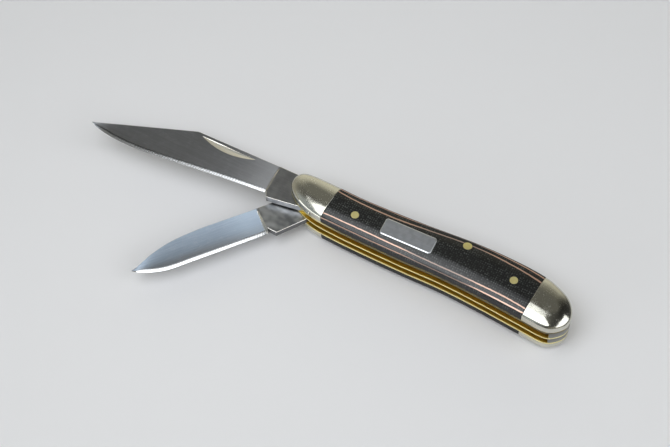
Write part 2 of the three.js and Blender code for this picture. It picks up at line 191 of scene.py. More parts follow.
class KnifeSizes(PropertyGroup):
    """Fine sizes that the finished pieces add to the frame."""
    edge_round: length("Edge round", "Round along the covers' lower edges and the tangs", 0.1)
    joint_round: length("Joint round", "Round where a bolster meets its scale", 0.07)
    plate_round: length("Plate round", "Round along the edges of liners and springs", 0.05)
    pin_gap: length("Pin gap", "Clearance round each pin", 0.04)
    shield_rim: length("Shield rim", "Width of the shield's bevelled rim", 0.25)
    line_outer_depth: length("Outer line depth", "Thickness of the outer layer line", 0.15)
    line_inner_depth: length("Inner line depth", "Thickness of the inner layer line", 0.08)
    weave_pitch: length("Weave pitch", "Spacing of the threads in the laminate's cloth", 0.54)


class KnifeColours(PropertyGroup):
    """Colours of the finishes."""
    nickel_silver: colour("Nickel silver", "Polished bolsters", (0.655, 0.64, 0.56))
    shield_silver: colour("Shield", "Plain silver of the shield", (0.5, 0.52, 0.565))
    brass: colour("Brass", "Rubbed edges of the liners, and pins", (0.93, 0.84, 0.42))
    well_brass: colour("Well brass", "Liners' faces in the wells", (0.86, 0.6, 0.08))
    brass_tarnish: colour("Brass tarnish", "Duller brass in the wells", (0.58, 0.38, 0.06))
    laminate: colour("Laminate", "Dark resin of the scales", (0.0025, 0.0027, 0.003))
    laminate_thread: colour("Laminate thread", "Cut threads of the cloth", (0.095, 0.102, 0.095))
    layer_line: colour("Layer line", "Thin coloured layers in the laminate", (0.66, 0.42, 0.32))
    clip_steel: colour("Clip steel", "Satin faces of the clip blade", (0.27, 0.272, 0.28))
    # The pen's steel is lighter and bluish as painted reflection; satin_steel keeps it to the upper face.
    pen_steel: colour("Pen steel", "Satin faces of the pen blade", (0.275, 0.327, 0.39))
    wall_steel: colour("Wall steel", "Coarsely ground walls of the tangs", (0.42, 0.42, 0.43))
    bright_steel: colour("Bright steel", "Ground edges, plunges and nail nicks", (0.84, 0.85, 0.86))
    spring_steel: colour("Spring steel", "Back springs", (0.25, 0.25, 0.24))


class StudioSettings(PropertyGroup):
    """Floor, light and camera."""
    floor: colour("Floor", "Plain pale floor", (0.9, 0.89, 0.9))
    horizon: colour("Horizon", "Lit wall behind and to the left, at eye level", (0.73, 0.71, 0.59))
    shade: colour("Shade", "Unlit wall in front and to the right", (0.1, 0.1, 0.095))
    ceiling: colour("Ceiling", "Room overhead", (0.115, 0.115, 0.106))
    key: FloatProperty(name="Key light", description="Brightness of the box overhead", default=3.0, min=0)
    fill: FloatProperty(name="Fill light", description="Brightness of the box to the right", default=1.9, min=0)
    side: FloatProperty(name="Side light", description="Brightness of the low box in front", default=2.0, min=0)
    lens: FloatProperty(name="Lens", description="Camera's focal length in millimetres", default=86.7, min=1)


# Plan curves

def on_handle(shares):
    """Points of the plan from shares of the reach to the nose or the butt, and of the depth."""
    return [(a * (NOSE_REACH if a < 0 else BUTT_X), c * HANDLE_DEPTH) for a, c in shares]


def hermite(b, c, m1, m2, t):
    """Points between b and c that leave along m1 and arrive along m2."""
    return b + m1 * t + (3 * (c - b) - 2 * m1 - m2) * t**2 + (2 * (b - c) + m1 + m2) * t**3


def closed_curve(points, steps=30):
    """Centripetal curve through a closed row of points."""
    p = np.array(points, float)
    n = len(p)
    t = np.linspace(0, 1, steps, endpoint=False)[:, None]
    rows = []
    for i in range(n):
        a, b, c, d = p[i - 1], p[i], p[(i + 1) % n], p[(i + 2) % n]
        d0, d1, d2 = (np.sum((v - u) ** 2) ** 0.25 for u, v in ((a, b), (b, c), (c, d)))
        m1 = ((b - a) / d0 - (c - a) / (d0 + d1) + (c - b) / d1) * d1
        m2 = ((c - b) / d1 - (d - b) / (d1 + d2) + (d - c) / d2) * d1
        rows.append(hermite(b, c, m1, m2, t))
    return np.concatenate(rows)


def open_curve(points, steps=30):
    """Uniform curve through an open row of points."""
    p = np.array(points, float)
    p = np.vstack([p[0], p, p[-1]])
    t = np.linspace(0, 1, steps, endpoint=False)[:, None]
    rows = [hermite(b, c, (c - a) / 2, (d - b) / 2, t) for a, b, c, d in zip(p, p[1:], p[2:], p[3:])]
    return np.concatenate(rows + [p[-1:]])


def respaced(points, step, closed=False):
    """The same line with points about `step` apart, its ends kept."""
    p = np.vstack([points, points[:1]]) if closed else np.asarray(points)
    run = np.concatenate([[0], np.cumsum(np.linalg.norm(np.diff(p, axis=0), axis=1))])
    at = np.linspace(0, run[-1], max(2, round(run[-1] / step) + 1))
    new = np.column_stack([np.interp(at, run, p[:, k]) for k in range(2)])
    return new[:-1] if closed else new


def evened(points, reach, step):
    """A closed line with its small kinks smoothed away over `reach`."""
    offsets = np.arange(-30, 31)
    weights = np.exp(-0.5 * (offsets * step / reach) ** 2)
    weights /= weights.sum()
    return sum(w * np.roll(points, -k, axis=0) for w, k in zip(weights, offsets))


def plan_outline():
    """The outline of the handle, counter-clockwise from the nose along the belly."""
    butt = [(BUTT_X + x * HANDLE_DEPTH, y * HANDLE_DEPTH) for x, y in BUTT_CURVE]
    clockwise = on_handle(NOSE_CURVE + BACK_CURVE) + butt + on_handle(BELLY_CURVE)
    line = respaced(closed_curve(clockwise[::-1]), OUTLINE_STEP, closed=True)
    line = evened(line, OUTLINE_SMOOTHING, OUTLINE_STEP)
    return np.roll(line, -int(line[:, 0].argmin()), axis=0)


OUTLINE = plan_outline()
REAR_MOST = int(OUTLINE[:, 0].argmax())
BELLY_LINE = OUTLINE[: REAR_MOST + 1]
BACK_LINE = np.vstack([OUTLINE[REAR_MOST:], OUTLINE[:1]])


def height_at(line, x):
    """The second value of a line where its first is x; the first grows along the line."""
    return np.interp(x, line[:, 0], line[:, 1])


def belly_at(x):
    return height_at(BELLY_LINE, x)


def back_at(x):
    return height_at(BACK_LINE[::-1], x)


def ridge_at(x):
    return (belly_at(x) + back_at(x)) / 2


# Mesh helpers

def linked(name, data):
    """A new object in the scene."""
    piece = bpy.data.objects.new(name, data)
    bpy.context.scene.collection.objects.link(piece)
    return piece


def made(name, verts, faces):
    """A welded object in millimetres with its faces turned outwards."""
    mesh = bpy.data.meshes.new(name)
    mesh.from_pydata([tuple(v) for v in verts], [], faces)
    work = bmesh.new()
    work.from_mesh(mesh)
    bmesh.ops.remove_doubles(work, verts=work.verts, dist=2e-4)
    bmesh.ops.dissolve_degenerate(work, edges=work.edges, dist=1e-5)
    bmesh.ops.recalc_face_normals(work, faces=work.faces)
    work.to_mesh(mesh)
    work.free()
    return linked(name, mesh)


def settled(piece):
    """Puts the result of a piece's modifiers in its mesh."""
    graph = bpy.context.evaluated_depsgraph_get()
    mesh = bpy.data.meshes.new_from_object(piece.evaluated_get(graph))
    old = piece.data
    piece.modifiers.clear()
    piece.data = mesh
    mesh.name = piece.name
    bpy.data.meshes.remove(old)


def carved(piece, tool, operation="DIFFERENCE"):
    """Cuts a tool out of a piece, or joins it on, and removes the tool."""
    change = piece.modifiers.new("carve", "BOOLEAN")
    change.object = tool
    change.operation = operation
    change.solver = "MANIFOLD"
    before = len(piece.data.vertices)
    settled(piece)
    if len(piece.data.vertices) == before:
        raise RuntimeError(f"{piece.name}: the tool changed nothing")
    bpy.data.meshes.remove(tool.data)


def strip_faces(rows, count, closed):
    """Quads between rows of `count` points each."""
    last = count if closed else count - 1
    return [(r * count + i, r * count + (i + 1) % count, (r + 1) * count + (i + 1) % count, (r + 1) * count + i)
            for r in range(rows - 1) for i in range(last)]


def stacked(name, rings):
    """Closed rings of points joined in order, their two ends filled."""
    count = len(rings[0])
    faces = strip_faces(len(rings), count, True)
    faces.append(tuple(range(count)))
    faces.append(tuple(range((len(rings) - 1) * count, len(rings) * count)))
    return made(name, np.vstack(rings), faces)


def inward(points, distance):
    """A closed counter-clockwise plan line moved inwards."""
    ahead = np.roll(points, -1, axis=0) - points
    behind = points - np.roll(points, 1, axis=0)
    a = ahead / np.linalg.norm(ahead, axis=1)[:, None]
    b = behind / np.linalg.norm(behind, axis=1)[:, None]
    normal = np.column_stack([-(a + b)[:, 1], (a + b)[:, 0]])
    squared = np.maximum((normal**2).sum(axis=1), 0.4)
    return points + normal * (2 * distance / squared)[:, None]


def counter_clockwise(points):
    x, y = points[:, 0], points[:, 1]
    area = np.sum(x * np.roll(y, -1) - y * np.roll(x, -1))
    return points if area > 0 else points[::-1]


def at_level(points, level):
    return np.column_stack([points, np.full(len(points), level)])


def rounded(size):
    """Quarter round of a corner, from one face to the other: how far it is set in from each."""
    return [(size * (1 - math.cos(turn)), size * (1 - math.sin(turn))) for turn in np.radians((90, 60, 30, 0))]


def plate(name, points, low, high, edge):
    """A flat plate with its edges slightly rounded."""
    line = counter_clockwise(np.asarray(points, float))
    rings = [(inset, low + rise) for inset, rise in rounded(edge)]
    rings += [(inset, low + high - level) for inset, level in rings[::-1]]
    return stacked(name, [at_level(inward(line, inset), level) for inset, level in rings])


def rod(radius, low, high, place, sides=96):
    """A plain round cutter."""
    angles = np.linspace(0, 2 * np.pi, sides, endpoint=False)
    ring = np.column_stack([place[0] + radius * np.cos(angles), place[1] + radius * np.sin(angles)])
    return stacked("cutter", [at_level(ring, low), at_level(ring, high)])


def finished(piece, materials, body, node, sharp=30, even=True, turn=None):
    """Turns a piece into metres, smooths and colours it, and ties it to the frame."""
    mesh = piece.data
    if turn is not None:
        mesh.transform(turn)
    mesh.transform(Matrix.Scale(MM, 4))
    mesh.shade_smooth()
    mesh.set_sharp_from_angle(angle=math.radians(sharp))
    if even:
        weigh = piece.modifiers.new("even", "WEIGHTED_NORMAL")
        weigh.keep_sharp = True
        settled(piece)
    piece.data.materials.clear()
    for material in materials:
        piece.data.materials.append(material)
    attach(piece, body)
    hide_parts(node)


# Domed covers

def dome_profile():
    """Shares of the way out from the ridge and rises above the wall, from the wall's top to the ridge."""
    land = math.sin(math.acos(LAND_SHARE))
    rows = [(math.cos(a), DOME_HEIGHT * math.sin(a) / land) for a in np.radians(np.linspace(0, 60, 19))]
    share, rise = rows[-1]
    slope = DOME_HEIGHT / math.tan(math.radians(60)) / land
    curve = slope**2 / (4 * (DOME_HEIGHT - rise))
    run = slope / (2 * curve)
    for step in np.linspace(0, 1, 9)[1:]:
        rows.append((share - run * step, rise + slope * run * step - curve * (run * step) ** 2))
    rows += [(0.16, DOME_HEIGHT), (0.07, DOME_HEIGHT), (0, DOME_HEIGHT)]
    return rows


DOME = dome_profile()
WALL_TOP = 9


def section_of(reach, edge, inset):
    """Half a cross-section, from the middle of the flat face out, up the wall and over to the ridge.

    Its row WALL_TOP lies just below the top of the wall.
    """
    low = STACK_HEIGHT - COVER_HEIGHT
    wall = low + WALL_HEIGHT
    rows = [(0, low), (0.5 * reach, low), (reach - edge * 1.6, low)]
    rows += [(reach - inside, low + rise) for inside, rise in rounded(edge)]
    rows += [(reach, low + edge * 1.6), (reach, (low + wall) / 2), (reach, wall - 0.15)]
    rows += [(share * reach, wall + rise) for share, rise in DOME]
    line = np.array(rows)
    if inset:
        step = np.gradient(line, axis=0)
        step /= np.linalg.norm(step, axis=1)[:, None]
        line = line - inset * np.column_stack([step[:, 1], -step[:, 0]])
        line[[0, -1], 0] = 0
    return line


def rung(point, foot, edge, inset=0):
    """One cross-section standing between the ridge and a point of the outline."""
    way = np.subtract(point, foot)
    reach = np.linalg.norm(way)
    line = section_of(reach, edge, inset)
    plan = np.asarray(foot) + line[:, :1] * way / reach
    return np.column_stack([plan, line[:, 1]])


def side_rungs(line_at, stations, edge):
    """Cross-sections on one long side; a station is a place along the handle and its inset."""
    return [rung((x, line_at(x)), (x, ridge_at(x)), edge, inset) for x, inset in stations]


def joint_stations(joint, direction, size):
    """Stations that round the corner of a joint face, from the face inwards."""
    return [(joint + direction * back, inset) for inset, back in rounded(size)]


def along(start, end):
    """Plain stations from one place along the handle to another."""
    count = max(2, round(abs(end - start) / STATION_SPACING) + 1)
    return [(x, 0) for x in np.linspace(start, end, count)]


def cover(name, rung_rows, ends):
    """A closed cover from rows of cross-sections and the pairs of them that face each other at a joint."""
    verts, faces, starts = [], [], []
    for rungs in rung_rows:
        starts.append(sum(len(v) for v in verts))
        count = len(rungs[0])
        base = starts[-1]
        faces += [tuple(base + i for i in face) for face in strip_faces(len(rungs), count, False)]
        verts.append(np.vstack(rungs))
    for (row_a, rung_a), (row_b, rung_b) in ends:
        count = len(rung_rows[0][0])
        a = starts[row_a] + (rung_a % len(rung_rows[row_a])) * count
        b = starts[row_b] + (rung_b % len(rung_rows[row_b])) * count
        faces.append(tuple(range(a, a + count)) + tuple(range(b + count - 2, b, -1)))
    return made(name, np.vstack(verts), faces)


def bolster(name, joint, ridge_end, edge, joint_size):
    """A bolster, drawn from the belly's joint corner round its end to the back's joint corner."""
    if ridge_end < joint:
        direction = -1
        arc = np.roll(OUTLINE, -REAR_MOST, axis=0)[::-1]
        arc = arc[arc[:, 0] < ridge_end]
    else:
        direction = 1
        arc = OUTLINE[OUTLINE[:, 0] > ridge_end]
    arc = np.vstack([(ridge_end, belly_at(ridge_end)), arc, (ridge_end, back_at(ridge_end))])
    stations = joint_stations(joint, direction, joint_size)
    stations += along(joint + direction * (joint_size + FIRST_STATION), ridge_end)
    foot = (ridge_end, float(ridge_at(ridge_end)))
    rows = side_rungs(belly_at, stations, edge)
    rows += [rung(point, foot, edge) for point in respaced(arc, OUTLINE_SPACING)[1:-1]]
    rows += side_rungs(back_at, stations, edge)[::-1]
    return cover(name, [rows], [((0, 0), (0, -1))])


def scale_cover(name, edge, joint_size):
    front, rear = FRONT_JOINT + JOINT_GAP / 2, REAR_JOINT - JOINT_GAP / 2
    stations = joint_stations(front, 1, joint_size)
    stations += along(front + joint_size + FIRST_STATION, rear - joint_size - FIRST_STATION)
    stations += joint_stations(rear, -1, joint_size)[::-1]
    rows = [side_rungs(belly_at, stations, edge), side_rungs(back_at, stations, edge)]
    return cover(name, rows, [((0, 0), (1, 0)), ((0, -1), (1, -1))])


def mirrored(piece):
    """Turns a mark-side cover into its pile-side twin."""
    piece.data.transform(Matrix.Translation((0, 0, STACK_HEIGHT)) @ Matrix.Scale(-1, 4, (0, 0, 1)))
    piece.data.flip_normals()


# Blades

def smoothstep(x, low, high):
    t = min(1, max(0, (x - low) / (high - low)))
    return t * t * (3 - 2 * t)


class Blade:
    """A blade drawn about its pivot, pointing to -X with its back up.

    `kick` is measured from the nose; the curves are in shares of the length from the plunge to the tip and of
    `depth`; `nick` gives the nail nick's two ends, its top and its side.
    """

    def __init__(self, thickness, depth, reach, kick, plunge_reach, plunge, back, corners, edge, nick, hollow):
        foot = -NOSE_REACH - plunge_reach

        def on_blade(shares):
            return np.array([(foot + (-reach - foot) * a, c * depth) for a, c in shares])

        self.thickness = thickness
        self.hollow = hollow
        self.kick = (-NOSE_REACH - kick[0], kick[1])
        self.plunge_top, self.plunge_foot = on_blade(plunge)
        self.back = on_blade(back) if len(back) < 4 else open_curve(on_blade(back), 40)
        self.corners = [x for x, _ in on_blade([(c, 0) for c in corners])]
        self.edge = open_curve(on_blade(edge), 40)
        (left, top), (right, _) = on_blade([(nick[0], nick[2]), (nick[1], nick[2])])
        self.nick = ((left + right) / 2, (left - right) / 2, top, nick[3])
        self.start = self.plunge_foot[0]
        self.tip = self.back[-1][0]

    def grind_at(self, x):
        """The main points of a section: height and half thickness at back, face, shoulder and edge."""
        top = float(height_at(self.back[::-1], x))
        bottom = min(float(height_at(self.edge[::-1], x)), top - 0.05)
        to_tip = min(1, max(0, (x - self.start) / (self.tip - self.start)))
        ground = smoothstep(self.start - x, 0, PLUNGE_LENGTH)
        half = (self.thickness / 2 - 0.01) * (1 + (TIP_TAPER - 1) * to_tip**2)
        chamfer = min(BACK_CHAMFER, (top - bottom) / 6)
        bevel = min(BEVEL_WIDTH, (top - bottom) / 3)
        return (
            (top, half - chamfer),
            (top - chamfer, half),
            (bottom + bevel, half + (min(BEVEL_HALF, half * 0.8) - half) * ground),
            (bottom, half + (EDGE_HALF - half) * ground),
        )

    def section(self, x):
        """Heights and half thicknesses from back to edge, with the face ground slightly hollow."""
        back, face, shoulder, edge = self.grind_at(x)
        wide = min(1, (face[0] - shoulder[0]) / 4)
        dip = self.hollow * wide * smoothstep(self.start - x, 0, PLUNGE_LENGTH)
        rows = [back]
        for s in np.linspace(0, 1, 11):
            rows.append((face[0] + (shoulder[0] - face[0]) * s,
                         face[1] + (shoulder[1] - face[1]) * s - 4 * dip * s * (1 - s)))
        return rows + [edge]

    def ground_part(self, name):
        stations = {self.start + 0.75}
        stations.update(self.start - PLUNGE_LENGTH * np.linspace(0, 1, 30))
        share = np.sin(np.linspace(0, math.pi / 2, 150))
        stations.update(self.start - PLUNGE_LENGTH + (self.tip - self.start + PLUNGE_LENGTH) * share)
        stations.update(self.corners)
        rings = []
        for x in sorted(stations, reverse=True):
            rows = self.section(x)
            near = [(x, y, -z) for y, z in rows]
            far = [(x, y, z) for y, z in rows[::-1]]
            rings.append(np.array(near + far))
        return stacked(name, rings)

    def closed_turn(self):
        kick_angle = math.atan2(-self.kick[1], -self.kick[0])
        rest = math.asin((SPRING_FACE_AT_KICK - KICK_GAP) / math.hypot(*self.kick))
        return math.pi + rest - kick_angle

    def tang(self, name, edge):
        up = math.pi / 2 - OPEN_TURN
        down = math.pi / 2 - self.closed_turn()
        flats = (up, up - math.pi / 2, down)

        def beside(normal, distance):
            return (TANG_FLAT * math.cos(normal) - distance * math.sin(normal),
                    TANG_FLAT * math.sin(normal) + distance * math.cos(normal))

        def cam(angle):
            radius = TANG_ROUND
            for normal in flats:
                near = math.cos(angle - normal)
                if near > 0:
                    radius = min(radius, TANG_FLAT / near)
            return radius

        shoulder = beside(up, SPRING_TIP_REACH + TIP_CLEARANCE)
        points = [(shoulder[0] - TIP_RAKE, self.back[0][1]), shoulder]
        for angle in np.linspace(up, down, 140):
            points.append((cam(angle) * math.cos(angle), cam(angle) * math.sin(angle)))
        points += [beside(down, -CLOSED_FLAT_REACH), self.kick, tuple(self.plunge_foot), tuple(self.plunge_top)]
        half = self.thickness / 2
        return plate(name, points, -half, half, edge)

    def across_bevel(self, place):
        """How far down the ground edge a point lies: 0 at its shoulder, 1 at the cutting edge."""
        rows = self.section(min(place.x, self.start))
        return min(1, max(0, (rows[-2][0] - place.y) / (rows[-2][0] - rows[-1][0])))

    def nick_tool(self):
        """The part of the coned wheel that cuts the nail nick."""
        middle, half_length, top, side = self.nick
        _, face, shoulder, _ = self.grind_at(middle)
        slope = (face[1] - shoulder[1]) / (face[0] - shoulder[0])
        surface = face[1] - slope * (face[0] - top)
        radius = (half_length**2 + NICK_DEPTH**2) / (2 * NICK_DEPTH)
        cone = NICK_DEPTH / NICK_DROP - slope
        angles = np.radians(np.linspace(-9, 9, 140))
        rings = []
        for drop in (0, 2.2):
            arc = [(middle + (radius - cone * drop) * math.sin(a),
                    side * (surface + radius - NICK_DEPTH - (radius - cone * drop) * math.cos(a)))
                   for a in angles]
            roof = side * (surface + 3)
            arc += [(arc[-1][0], roof), (arc[0][0], roof)]
            rings.append(np.array([(x, top - drop, z) for x, z in arc]))
        return stacked("cutter", rings)

    def finish_of(self, face):
        """Satin face, ground edge, wall of the tang, or the cut steel of nail nick, plunge, chamfer and rims."""
        x, y, z = face.center
        if x > self.start + 0.01:
            level = abs(face.normal.z)
            return SATIN if level > 0.97 else CUT if level > 0.12 else WALL
        if x > self.start - PLUNGE_LENGTH:
            return CUT if abs(face.normal.x) > 0.12 else SATIN
        rows = np.array(self.section(x))
        if y > rows[1][0] + 0.004:
            return CUT
        if y < rows[-2][0] - 0.004:
            return EDGE
        middle, half_length, top, side = self.nick
        if abs(x - middle) < half_length and top - NICK_DROP - 0.1 < y < top + 0.01 and z * side > 0:
            if abs(z) < height_at(rows[::-1], y) - 0.006:
                return CUT
        return SATIN


def clip_blade():
    return Blade(
        thickness=1.9, depth=11, reach=WELL_END - 5, kick=(4.05, -3.85), plunge_reach=4.8,
        plunge=[(0.006, 0.459), (0, -0.2)],
        back=[(-0.023, 0.459), (0.48, 0.436), (1, -0.409)], corners=[0.48],
        edge=[(0, -0.2), (0.019, -0.223), (0.23, -0.314), (0.482, -0.445), (0.632, -0.523), (0.748, -0.555),
              (0.865, -0.545), (0.96, -0.477), (1, -0.418)],
        nick=(0.138, 0.461, 0.37, 1), hollow=0.015,
    )


def pen_blade():
    return Blade(
        thickness=1.8, depth=7.2, reach=(WELL_END - 5) * 0.769, kick=(4.1, -3), plunge_reach=5.7,
        plunge=[(-0.003, 0.688), (0, -0.125)],
        back=[(-0.061, 0.681), (0.243, 0.701), (0.456, 0.708), (0.66, 0.639), (0.815, 0.465), (0.942, 0.222),
              (1, 0.118)], corners=[],
        edge=[(0, -0.125), (0.021, -0.278), (0.243, -0.292), (0.547, -0.292), (0.745, -0.285), (0.863, -0.181),
              (0.951, -0.014), (1, 0.111)],
        nick=(0.106, 0.471, 0.583, -1), hollow=0.05,
    )


def blade_piece(name, blade, edge):
    piece = blade.tang(name, edge)
    carved(piece, blade.ground_part("grind"), "UNION")
    carved(piece, rod(PIVOT_RADIUS + BORE_GAP, -3, 3, (0, 0)))
    carved(piece, blade.nick_tool())
    return piece


# Node maths

class Value:
    """A socket that can be used in a Python expression."""

    def __init__(self, graph, socket):
        self.graph = graph
        self.socket = socket

    def other(self, name):
        """Another output of the same node."""
        return Value(self.graph, self.socket.node.outputs[name])

    def __add__(self, value):
        return self.graph.maths("ADD", self, value)

    def __radd__(self, value):
        return self.graph.maths("ADD", value, self)

    def __sub__(self, value):
        return self.graph.maths("SUBTRACT", self, value)

    def __rsub__(self, value):
        return self.graph.maths("SUBTRACT", value, self)

    def __mul__(self, value):
        return self.graph.maths("MULTIPLY", self, value)

    def __truediv__(self, value):
        return self.graph.maths("DIVIDE", self, value)

    def __pow__(self, value):
        return self.graph.maths("POWER", self, value)

    def __abs__(self):
        return self.graph.maths("ABSOLUTE", self)

    def clamped(self):
        return self.graph.shader("Clamp", {0: self})

    def step(self, low, high):
        """0 below `low`, 1 above `high`, smooth between; the other way round if `low` is the larger."""
        low, high, first, last = (low, high, 0.0, 1.0) if low < high else (high, low, 1.0, 0.0)
        inputs = {0: self, 1: low, 2: high, 3: first, 4: last}
        return self.graph.shader("MapRange", inputs, interpolation_type="SMOOTHSTEP")


class Graph:
    """A node tree that is written node by node."""

    def __init__(self, tree):
        self.tree = tree
        tree.nodes.clear()

    def add(self, kind, inputs=None, output=0, **settings):
        """A new node with its inputs linked or set, given by one of its outputs."""
        node = self.tree.nodes.new(kind)
        for name, value in settings.items():
            setattr(node, name, value)
        for key, value in (inputs or {}).items():
            if isinstance(value, Value):
                self.tree.links.new(value.socket, node.inputs[key])
            else:
                node.inputs[key].default_value = value
        return Value(self, node.outputs[output]) if node.outputs else node

    def shader(self, kind, *values, **settings):
        return self.add(f"ShaderNode{kind}", *values, **settings)

    def maths(self, operation, *values):
        return self.shader("Math", dict(enumerate(values)), operation=operation)

    def dot(self, first, second):
        return self.shader("VectorMath", {0: first, 1: second}, "Value", operation="DOT_PRODUCT")

    def split(self, vector):
        """A vector's X, Y and Z."""
        x = self.shader("SeparateXYZ", {"Vector": vector})
        return x, x.other("Y"), x.other("Z")

    def point(self, x, y, z):
        return self.shader("CombineXYZ", {"X": x, "Y": y, "Z": z})

    def mix(self, mask, first, second):
        """Colour mixed from two by a mask."""
        first, second = (c if isinstance(c, Value) else (*c, 1) for c in (first, second))
        return self.shader("Mix", {0: mask, 6: first, 7: second}, 2, data_type="RGBA")

    def millimetres(self, turn=0.0, stretch=None, shift=(0, 0, 0)):
        """Object coordinates in millimetres, turned about Z and then stretched."""
        place = self.shader("TexCoord", {}, "Object")
        turned = self.shader("Mapping", {
            "Vector": place, "Location": shift, "Rotation": (0, 0, turn), "Scale": (1 / MM,) * 3})
        if stretch is None:
            return turned
        return self.shader("VectorMath", {0: turned, 1: stretch}, operation="MULTIPLY")

    def curve(self, value, points):
        """A smooth curve through points (value, result)."""
        low, high = points[0][0], points[-1][0]
        share = self.shader("MapRange", {0: value, 1: low, 2: high, 3: 0.0, 4: 1.0})
        result = self.shader("FloatCurve", {"Factor": 1.0, "Value": share})
        mapping = result.socket.node.mapping
        line = mapping.curves[0]
        for x, y in points[1:-1]:
            line.points.new((x - low) / (high - low), y)
        line.points[0].location = (0, points[0][1])
        line.points[-1].location = (1, points[-1][1])
        mapping.clip_max_y = 2
        mapping.update()
        return result

    def noise(self, place, scale=1.0, detail=2.0, roughness=0.5):
        return self.shader("TexNoise", {
            "Vector": place, "Scale": scale, "Detail": detail, "Roughness": roughness}, "Fac")

    def cloud(self, scale, detail=2.0, roughness=0.5):
        """Even noise with about `scale` lumps to the millimetre."""
        return self.noise(self.millimetres(), scale, detail, roughness)

    def grain(self, turn, stretch, detail=2.0, roughness=0.5):
        """Noise drawn out along a direction, with `stretch` lumps to the millimetre on each axis."""
        return self.noise(self.millimetres(turn, stretch), 1.0, detail, roughness)

    def bump(self, height, distance, strength):
        """Relief whose full height is `distance` millimetres."""
        return self.shader("Bump", {"Height": height, "Distance": distance * MM, "Strength": strength})

    def surface(self, **sockets):
        """Principled surface; a name's underscores stand for spaces."""
        inputs = {name.replace("_", " "): value for name, value in sockets.items()}
        self.shader("OutputMaterial", {"Surface": self.shader("BsdfPrincipled", inputs)})

    def metal(self, base, rough, relief, distance, strength, film=1.0):
        """Metal with a relief `distance` millimetres high."""
        self.surface(Base_Color=base, Metallic=film, Roughness=rough, Normal=self.bump(relief, distance, strength))


def material_of(name, finish, *values):
    """A material whose nodes are written by one of the finishes."""
    material = bpy.data.materials.new(name)
    material.use_nodes = True
    finish(Graph(material.node_tree), *values)
    return material


def times(value, share):
    """A colour multiplied by a share, no part of it above 1."""
    return [min(1, c * share) for c in value]


# Finishes

def fine_scratches(g, turn, length_mm=9.0, density=0.62):
    """Mask of thin stray scratches about one direction."""
    lines = g.grain(turn, (1 / length_mm, 4.2, 4.2), 3.0, 0.6)
    return abs(lines - 0.5).step(0.012, 0.0) * g.cloud(0.55).step(0.45, density)


def nickel_silver(g, silver):
    """Polished nickel silver: soft haze, stray polishing lines, scuffs and a few specks."""
    haze = g.cloud(0.45, 4.0, 0.6)
    lines = fine_scratches(g, 0.5) + fine_scratches(g, -0.35, 6.0) + fine_scratches(g, 1.4, 5.0)
    specks = g.cloud(7.0).step(0.67, 0.74)
    scuffs = g.grain(0.9, (1.2, 5, 3), 3.0, 0.6).step(0.6, 0.68) * g.cloud(0.28, 1.0).step(0.52, 0.64)
    base = g.mix(haze.step(0.35, 0.7) * 0.3, silver, times(silver, 0.86))
    base = g.mix(specks * 0.3 + scuffs * 0.3, base, (0.9, 0.89, 0.85))
    rough = 0.1 + haze.step(0.3, 0.75) * 0.05 + (lines * 0.16 + specks * 0.2 + scuffs * 0.18).clamped()
    relief = g.cloud(0.22, 1.0) + lines * -0.05 + specks * 0.03
    g.metal(base, rough.clamped(), relief, 0.008, 0.6)


def shield_face(g, silver):
    """Plain silver, brushed along the shield."""
    grain, cloud = g.grain(-SHIELD_TURN, (0.35, 9, 9), 3.0, 0.65), g.cloud(0.8, 3.0)
    base = g.mix(grain.step(0.3, 0.7) * 0.5, silver, times(silver, 0.8))
    base = g.mix(cloud.step(0.35, 0.65) * 0.45, base, times(silver, 0.66))
    g.metal(base, 0.27 + grain * 0.12 + cloud.step(0.4, 0.7) * 0.05, grain, 0.006, 0.7)


def shield_rim(g):
    """Bright silver round the shield."""
    base = g.mix(g.cloud(0.8, 3.0), (0.8, 0.81, 0.83), (0.7, 0.71, 0.73))
    rough = 0.27 + g.grain(-SHIELD_TURN, (0.35, 9, 9), 3.0, 0.65) * 0.08
    g.surface(Base_Color=base, Metallic=1.0, Roughness=rough)


def layer_lines(g, x, height, back, sizes):
    """Mask of the thin coloured layers: two lines on each side of the dome."""
    lines = 0.0
    for belly_levels, back_levels, depth in ((BELLY_OUTER, BACK_OUTER, sizes.line_outer_depth / MM),
                                             (BELLY_INNER, BACK_INNER, sizes.line_inner_depth / MM)):
        belly_level = g.curve(x, belly_levels)
        middle = belly_level + (g.curve(x, back_levels) - belly_level) * back
        lines = abs(height - middle).step(depth * 0.5 + 0.015, depth * 0.5 - 0.015) + lines
    return lines.clamped()


